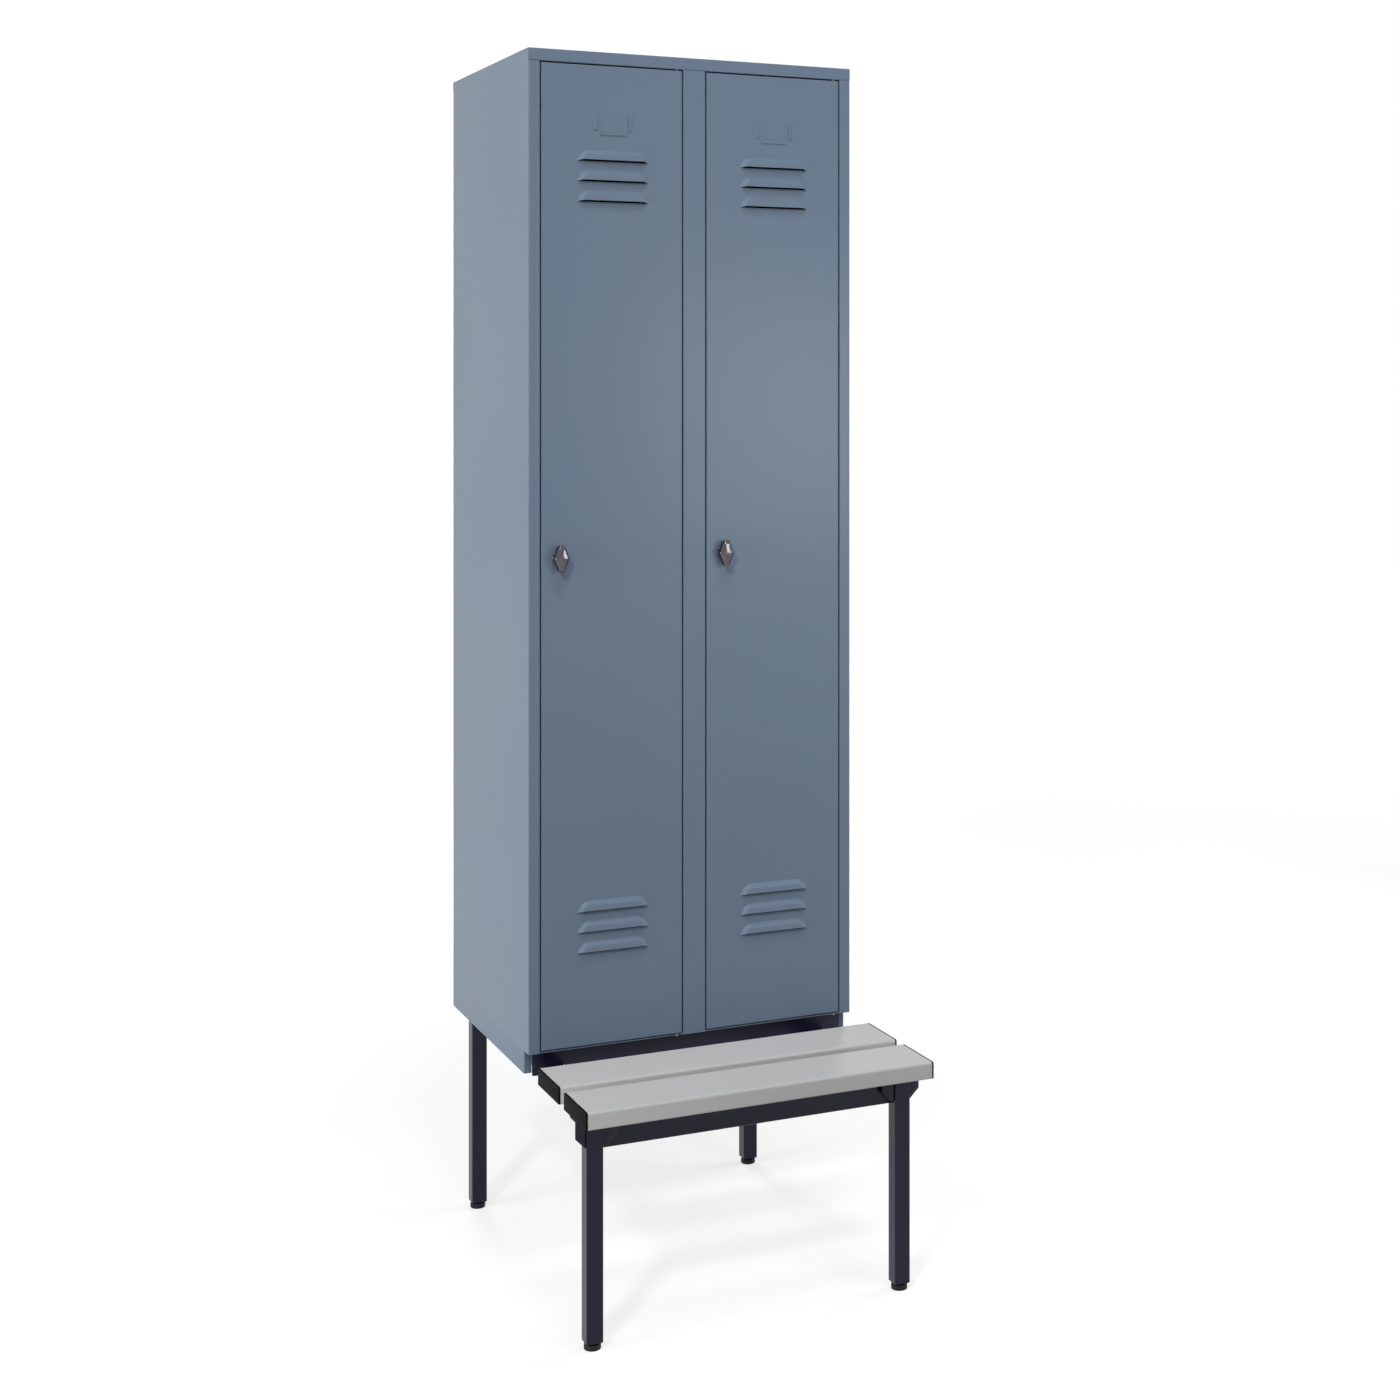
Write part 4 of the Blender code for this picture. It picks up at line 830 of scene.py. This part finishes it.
def slat_cap(row, word):
    """Moulded end plate whose outer rim is rounded, and a block that plugs the slat."""
    node = f"slat_cap_{row}_{word}"
    low, high = box(node)
    side = SIDES[word]
    size, middle = (high - low)[Y:], ((low + high) / 2)[Y:]
    face = high[X] if side > 0 else low[X]
    thickness, soft = 0.003, 0.0011
    plug_play, plug_corner, plug_depth = 0.007, 0.001, 0.012
    loops = [slat_loop(size, soft * (1 - math.sin(a))) for a in QUARTER_TURN]
    depths = [soft * (1 - math.cos(a)) for a in QUARTER_TURN]
    plug = rectangle_loop(*(size - plug_play), plug_corner)
    loops += [loops[-1], plug, plug]
    depths += [thickness, thickness, plug_depth]
    loops = [loop + middle for loop in loops][::side]
    levels = [face - side * depth for depth in depths][::side]
    dress(node, [capped(stacked(loops, X, levels))])


def fastener(node, head_up):
    """Screw or bolt: a low domed head with a driver's recess, and its shank."""
    low, high = box(node)
    centre = (low + high) / 2
    centre[Z] = 0
    head, chamfer = (high[X] - low[X]) / 2, 0.0006
    if head_up:
        direction, tall, shank, top, end = "up", 0.004, 0.003, high[Z], low[Z]
    else:
        direction, tall, shank, top, end = "down", 0.003, 0.0025, -low[Z], -high[Z]
    dome = (  # share of the head's radius, and of its height below the top
        (0, 0.5), (0.38, 0.5), (0.42, 0), (0.7, 0.03), (0.9, 0.18), (1, 0.45), (1, 1),
    )
    profile = [(head * out, top - tall * down) for out, down in dome]
    profile += [
        (shank, top - tall), (shank, end + chamfer), (shank - chamfer, end), (0, end),
    ]
    points = turned(profile, centre, direction, SHAFT_SIDES)
    dress(node, [surface(points, columns_closed=True)])


# Finishes

def add(tree, kind, inputs=None, **settings):
    """A node with its settings. An input given as a socket is linked, and any other is set."""
    made = tree.nodes.new(kind)
    for key, value in settings.items():
        setattr(made, key, value)
    for key, value in (inputs or {}).items():
        if isinstance(value, bpy.types.NodeSocket):
            tree.links.new(value, made.inputs[key])
        else:
            made.inputs[key].default_value = value
    return made


def blank(name, roughness, metallic=0.0, specular=0.5):
    """A material with its node tree, its shader and the place on the object."""
    made = bpy.data.materials.new(name)
    made.use_nodes = True
    tree = made.node_tree
    shader = tree.nodes["Principled BSDF"]
    shader.inputs["Roughness"].default_value = roughness
    shader.inputs["Metallic"].default_value = metallic
    shader.inputs["Specular IOR Level"].default_value = specular
    return made, tree, shader, add(tree, "ShaderNodeTexCoord").outputs["Object"]


def noise(tree, place, scale, detail, stretch=None):
    """Noise with a number of grains per metre, which a stretch makes longer along an axis."""
    if stretch is not None:
        place = add(tree, "ShaderNodeMapping", {"Vector": place, "Scale": stretch}).outputs[0]
    inputs = {"Vector": place, "Scale": scale, "Detail": detail}
    return add(tree, "ShaderNodeTexNoise", inputs).outputs["Fac"]


def spread(tree, value, low, high):
    """The middle of a noise's range spread from low to high."""
    inputs = {"Value": value, "From Min": 0.3, "From Max": 0.7, "To Min": low, "To Max": high}
    return add(tree, "ShaderNodeMapRange", inputs).outputs[0]


def mixed(tree, factor, first, second, blend="MIX"):
    """Two colours mixed, by the colour sockets of a mix node."""
    inputs = {0: factor, 6: first, 7: second}
    return add(tree, "ShaderNodeMix", inputs, data_type="RGBA", blend_type=blend).outputs[2]


def bumped(tree, shader, height, distance, strength):
    """Fine relief: a height from 0 to 1 that stands for a distance in metres."""
    inputs = {"Height": height, "Distance": distance, "Strength": strength}
    tree.links.new(add(tree, "ShaderNodeBump", inputs).outputs[0], shader.inputs["Normal"])


def powder_coat(slot, cool, warm, roughness, specular, peel):
    """Baked powder: clouded a little between two close shades as a faint painted mottle of
    reflections, finely speckled, with the soft ripple that such a coat dries to."""
    made, tree, shader, place = blank(slot, roughness, specular=specular)
    # The clouds are a faint painted mottle of reflections, between the two close shades.
    clouds = noise(tree, place, scale=2.0, detail=1.0)
    tint = mixed(tree, spread(tree, clouds, 0, 1), (*cool, 1), (*warm, 1))
    specks = spread(tree, noise(tree, place, scale=700.0, detail=1.0), 0.985, 1.015)
    shade = add(tree, "ShaderNodeCombineColor", {0: specks, 1: specks, 2: specks}).outputs[0]
    tree.links.new(mixed(tree, 1.0, tint, shade, "MULTIPLY"), shader.inputs["Base Color"])
    handling = noise(tree, place, scale=2.5, detail=1.0)
    gloss = spread(tree, handling, roughness - 0.02, roughness + 0.02)
    tree.links.new(gloss, shader.inputs["Roughness"])
    ripple = noise(tree, place, scale=650.0, detail=1.5)
    bumped(tree, shader, ripple, distance=peel, strength=0.5)
    finishes[slot] = made


def slat_plastic(slot):
    """Extruded plastic: pale grey with faint streaks along the slat and a soft gloss."""
    made, tree, shader, place = blank(slot, roughness=0.3, specular=0.03)
    streaks = noise(tree, place, scale=1.0, detail=3.0, stretch=(1.2, 320.0, 320.0))
    clouds = noise(tree, place, scale=8.0, detail=3.0)
    dull, bright = (0.580, 0.580, 0.578, 1), (0.600, 0.600, 0.597, 1)
    tint = mixed(tree, spread(tree, streaks, 0, 1), dull, bright)
    shade = mixed(tree, spread(tree, clouds, 0, 0.4), tint, (0.575, 0.578, 0.580, 1))
    tree.links.new(shade, shader.inputs["Base Color"])
    tree.links.new(spread(tree, streaks, 0.27, 0.33), shader.inputs["Roughness"])
    bumped(tree, shader, streaks, distance=0.000006, strength=0.4)
    finishes[slot] = made


def cap_plastic(slot):
    """Black moulding with a fine spark-eroded grain."""
    made, tree, shader, place = blank(slot, roughness=0.6, specular=0.03)
    grain = noise(tree, place, scale=2200.0, detail=2.0)
    dark, light = (0.004, 0.005, 0.006, 1), (0.008, 0.009, 0.010, 1)
    tint = mixed(tree, spread(tree, grain, 0, 1), dark, light)
    tree.links.new(tint, shader.inputs["Base Color"])
    bumped(tree, shader, grain, distance=0.00003, strength=0.7)
    finishes[slot] = made


def plated(slot, dull, bright, roughness, grain):
    """Plated metal: cloudy between two shades, with hairline marks in its polish."""
    made, tree, shader, place = blank(slot, roughness, metallic=1.0)
    clouds = spread(tree, noise(tree, place, scale=grain, detail=3.0), 0, 1)
    tint = mixed(tree, clouds, (*dull, 1), (*bright, 1))
    tree.links.new(tint, shader.inputs["Base Color"])
    hairs = noise(tree, place, scale=1.0, detail=2.0, stretch=(2500.0, 2500.0, 160.0))
    polish = spread(tree, hairs, roughness * 0.8, roughness * 1.35)
    tree.links.new(polish, shader.inputs["Roughness"])
    bumped(tree, shader, hairs, distance=0.000008, strength=0.4)
    finishes[slot] = made


def foot_rubber(slot):
    """Black rubber with a fine grain and some dust."""
    made, tree, shader, place = blank(slot, roughness=0.6, specular=0.2)
    grain = noise(tree, place, scale=1500.0, detail=2.0)
    dust = spread(tree, noise(tree, place, scale=60.0, detail=3.0), 0, 0.6)
    tint = mixed(tree, dust, (0.011, 0.011, 0.012, 1), (0.028, 0.028, 0.028, 1))
    tree.links.new(tint, shader.inputs["Base Color"])
    bumped(tree, shader, grain, distance=0.00004, strength=0.6)
    finishes[slot] = made


def make_finishes():
    """A material for each slot, on the solids too."""
    powder_coat(
        "blue_grey_paint", cool=(0.171, 0.232, 0.320), warm=(0.179, 0.238, 0.320),
        roughness=0.30, specular=0.15, peel=0.000002,
    )
    powder_coat(
        "dark_paint", cool=(0.004, 0.0045, 0.024), warm=(0.006, 0.0065, 0.028),
        roughness=0.30, specular=0.28, peel=0.000003,
    )
    slat_plastic("grey_plastic")
    cap_plastic("black_plastic")
    plated(
        "zinc", dull=(0.24, 0.24, 0.235), bright=(0.34, 0.34, 0.33), roughness=0.48, grain=260.0
    )
    plated(
        "nickel", dull=(0.088, 0.083, 0.094), bright=(0.118, 0.110, 0.124),
        roughness=0.12, grain=90.0,
    )
    foot_rubber("rubber")
    for node, obj in frame["nodes"].items():
        obj.data.materials.clear()
        obj.data.materials.append(finishes[slots_of[node]])


# Studio and camera

PHOTO_SIZE = 1400
FOCAL_PIXELS = 2184.5
PRINCIPAL_PIXEL = (840.6, 385.3)
CAMERA_PLACE = (-1.3911, -3.6412, 1.5292)
CAMERA_YAW = 0.43927
SENSOR = 36.0

WHITE = (1, 1, 1, 1)
WORLD_LIGHT = 0.03  # on the object, where the world is shown at 1
FLOOR_COLOUR = (0.45, 0.45, 0.45, 1)
FLOOR_REACH = 60.0
GLOW_FROM, GLOW_TO = 1.0, 6.0  # distances from the middle of the floor
GLOW_NEAR, GLOW_FAR = 0.66, 1.0

LAMPS = (  # name, place, point that it faces, size, power
    ("key_light", (-4.25, -5.1, 6.0), (0.0, 0.0, 1.2), (0.8, 0.8), 210),
    ("side_light", (-4.3, -0.3, 1.4), (-0.3, 0.1, 1.0), (2.0, 2.0), 92),
    ("front_light", (0.68, -1.35, 1.46), (0.0, 0.0, 1.33), (0.55, 0.55), 5.8),
    ("top_light", (-0.3, -1.8, 5.3), (0.0, -0.2, 0.8), (1.2, 1.2), 62),
    ("right_light", (3.0, 0.1, 1.2), (0.3, 0.1, 1.1), (1.6, 1.6), 50),
    ("rear_light", (0.2, 3.6, 2.4), (0.0, 0.4, 1.0), (1.0, 1.6), 42),
)


def make_camera():
    """Level camera, whose lens is shifted as far as the photograph's framing needs."""
    data = bpy.data.cameras.new("camera")
    data.sensor_fit = "HORIZONTAL"
    data.sensor_width = SENSOR
    data.lens = FOCAL_PIXELS * SENSOR / PHOTO_SIZE
    data.shift_x = 0.5 - PRINCIPAL_PIXEL[0] / PHOTO_SIZE
    data.shift_y = PRINCIPAL_PIXEL[1] / PHOTO_SIZE - 0.5
    camera = bpy.data.objects.new("camera", data)
    camera.location = CAMERA_PLACE
    camera.rotation_euler = (math.pi / 2, 0, -CAMERA_YAW)
    bpy.context.scene.collection.objects.link(camera)
    bpy.context.scene.camera = camera


def shown_rays(tree):
    """One for camera, glossy and transmission rays, and zero for those that light the object."""
    path = add(tree, "ShaderNodeLightPath").outputs
    total = path["Is Camera Ray"]
    for name in ("Is Glossy Ray", "Is Transmission Ray"):
        inputs = {0: total, 1: path[name]}
        total = add(tree, "ShaderNodeMath", inputs, operation="MAXIMUM").outputs[0]
    return total


def make_world():
    """White where it is seen, and a softer light where it only lights."""
    world = bpy.data.worlds.new("studio")
    world.use_nodes = True
    tree = world.node_tree
    ground = tree.nodes["Background"]
    ground.inputs["Color"].default_value = WHITE
    inputs = {"Value": shown_rays(tree), "To Min": WORLD_LIGHT, "To Max": 1.0}
    tree.links.new(add(tree, "ShaderNodeMapRange", inputs).outputs[0], ground.inputs["Strength"])
    bpy.context.scene.world = world


def make_floor():
    """Pale floor that takes the shadow, lifted to white where it is seen, and the more so the
    farther it lies from the lamps."""
    made, tree, shader, place = blank("studio_floor", roughness=1.0, specular=0.0)
    shader.inputs["Base Color"].default_value = FLOOR_COLOUR
    away = add(tree, "ShaderNodeVectorMath", {0: place}, operation="LENGTH").outputs["Value"]
    inputs = {
        "Value": away, "From Min": GLOW_FROM, "From Max": GLOW_TO,
        "To Min": GLOW_NEAR, "To Max": GLOW_FAR,
    }
    lift = add(tree, "ShaderNodeMapRange", inputs).outputs[0]
    glow = add(tree, "ShaderNodeMath", {0: shown_rays(tree), 1: lift}, operation="MULTIPLY")
    shader.inputs["Emission Color"].default_value = WHITE
    tree.links.new(glow.outputs[0], shader.inputs["Emission Strength"])
    mesh = bpy.data.meshes.new("studio_floor")
    signs = ((-1, -1), (1, -1), (1, 1), (-1, 1))
    corners = [(x * FLOOR_REACH, y * FLOOR_REACH, 0) for x, y in signs]
    mesh.from_pydata(corners, [], [(0, 1, 2, 3)])
    mesh.materials.append(made)
    floor_object = bpy.data.objects.new("studio_floor", mesh)
    bpy.context.scene.collection.objects.link(floor_object)


def softbox(name, place, target, size, power):
    """A lamp turned to its target: tipped by the angle of its aim from straight down, and swung
    to the aim's heading."""
    data = bpy.data.lights.new(name, "AREA")
    data.shape = "RECTANGLE"
    data.size, data.size_y = size
    data.energy = power
    light = bpy.data.objects.new(name, data)
    light.location = place
    aim = np.array(target) - np.array(place)
    tip = math.atan2(math.hypot(aim[X], aim[Y]), -aim[Z])
    heading = math.atan2(aim[Y], aim[X])
    light.rotation_euler = (tip, 0, heading - math.pi / 2)
    bpy.context.scene.collection.objects.link(light)


make_finishes()
for word in SIDES:
    side_panel(word)
    hat_shelf(word)
    coat_rail(word)
    for which in ("outer", "inner"):
        coat_hook(f"coat_hook_{word}_{which}")
    door(word)
    door_stiffener(word)
    rosette(word)
    knob(word)
    cross_tube(f"side_bearer_{word}", Y)
    bench_bracket(word)
    for row in ROWS:
        leg(row, word)
        levelling_foot(row, word)
        slat_cap(row, word)
        fastener(f"slat_screw_{row}_{word}", head_up=False)
        fastener(f"stand_bolt_{row}_{word}", head_up=True)
roof()
floor()
partition()
cross_tube("bench_rail_front", X)
cabinet_rails()
for row in ROWS:
    slat(row)

make_camera()
make_world()
make_floor()
for lamp in LAMPS:
    softbox(*lamp)
bpy.context.scene.view_settings.view_transform = "Standard"
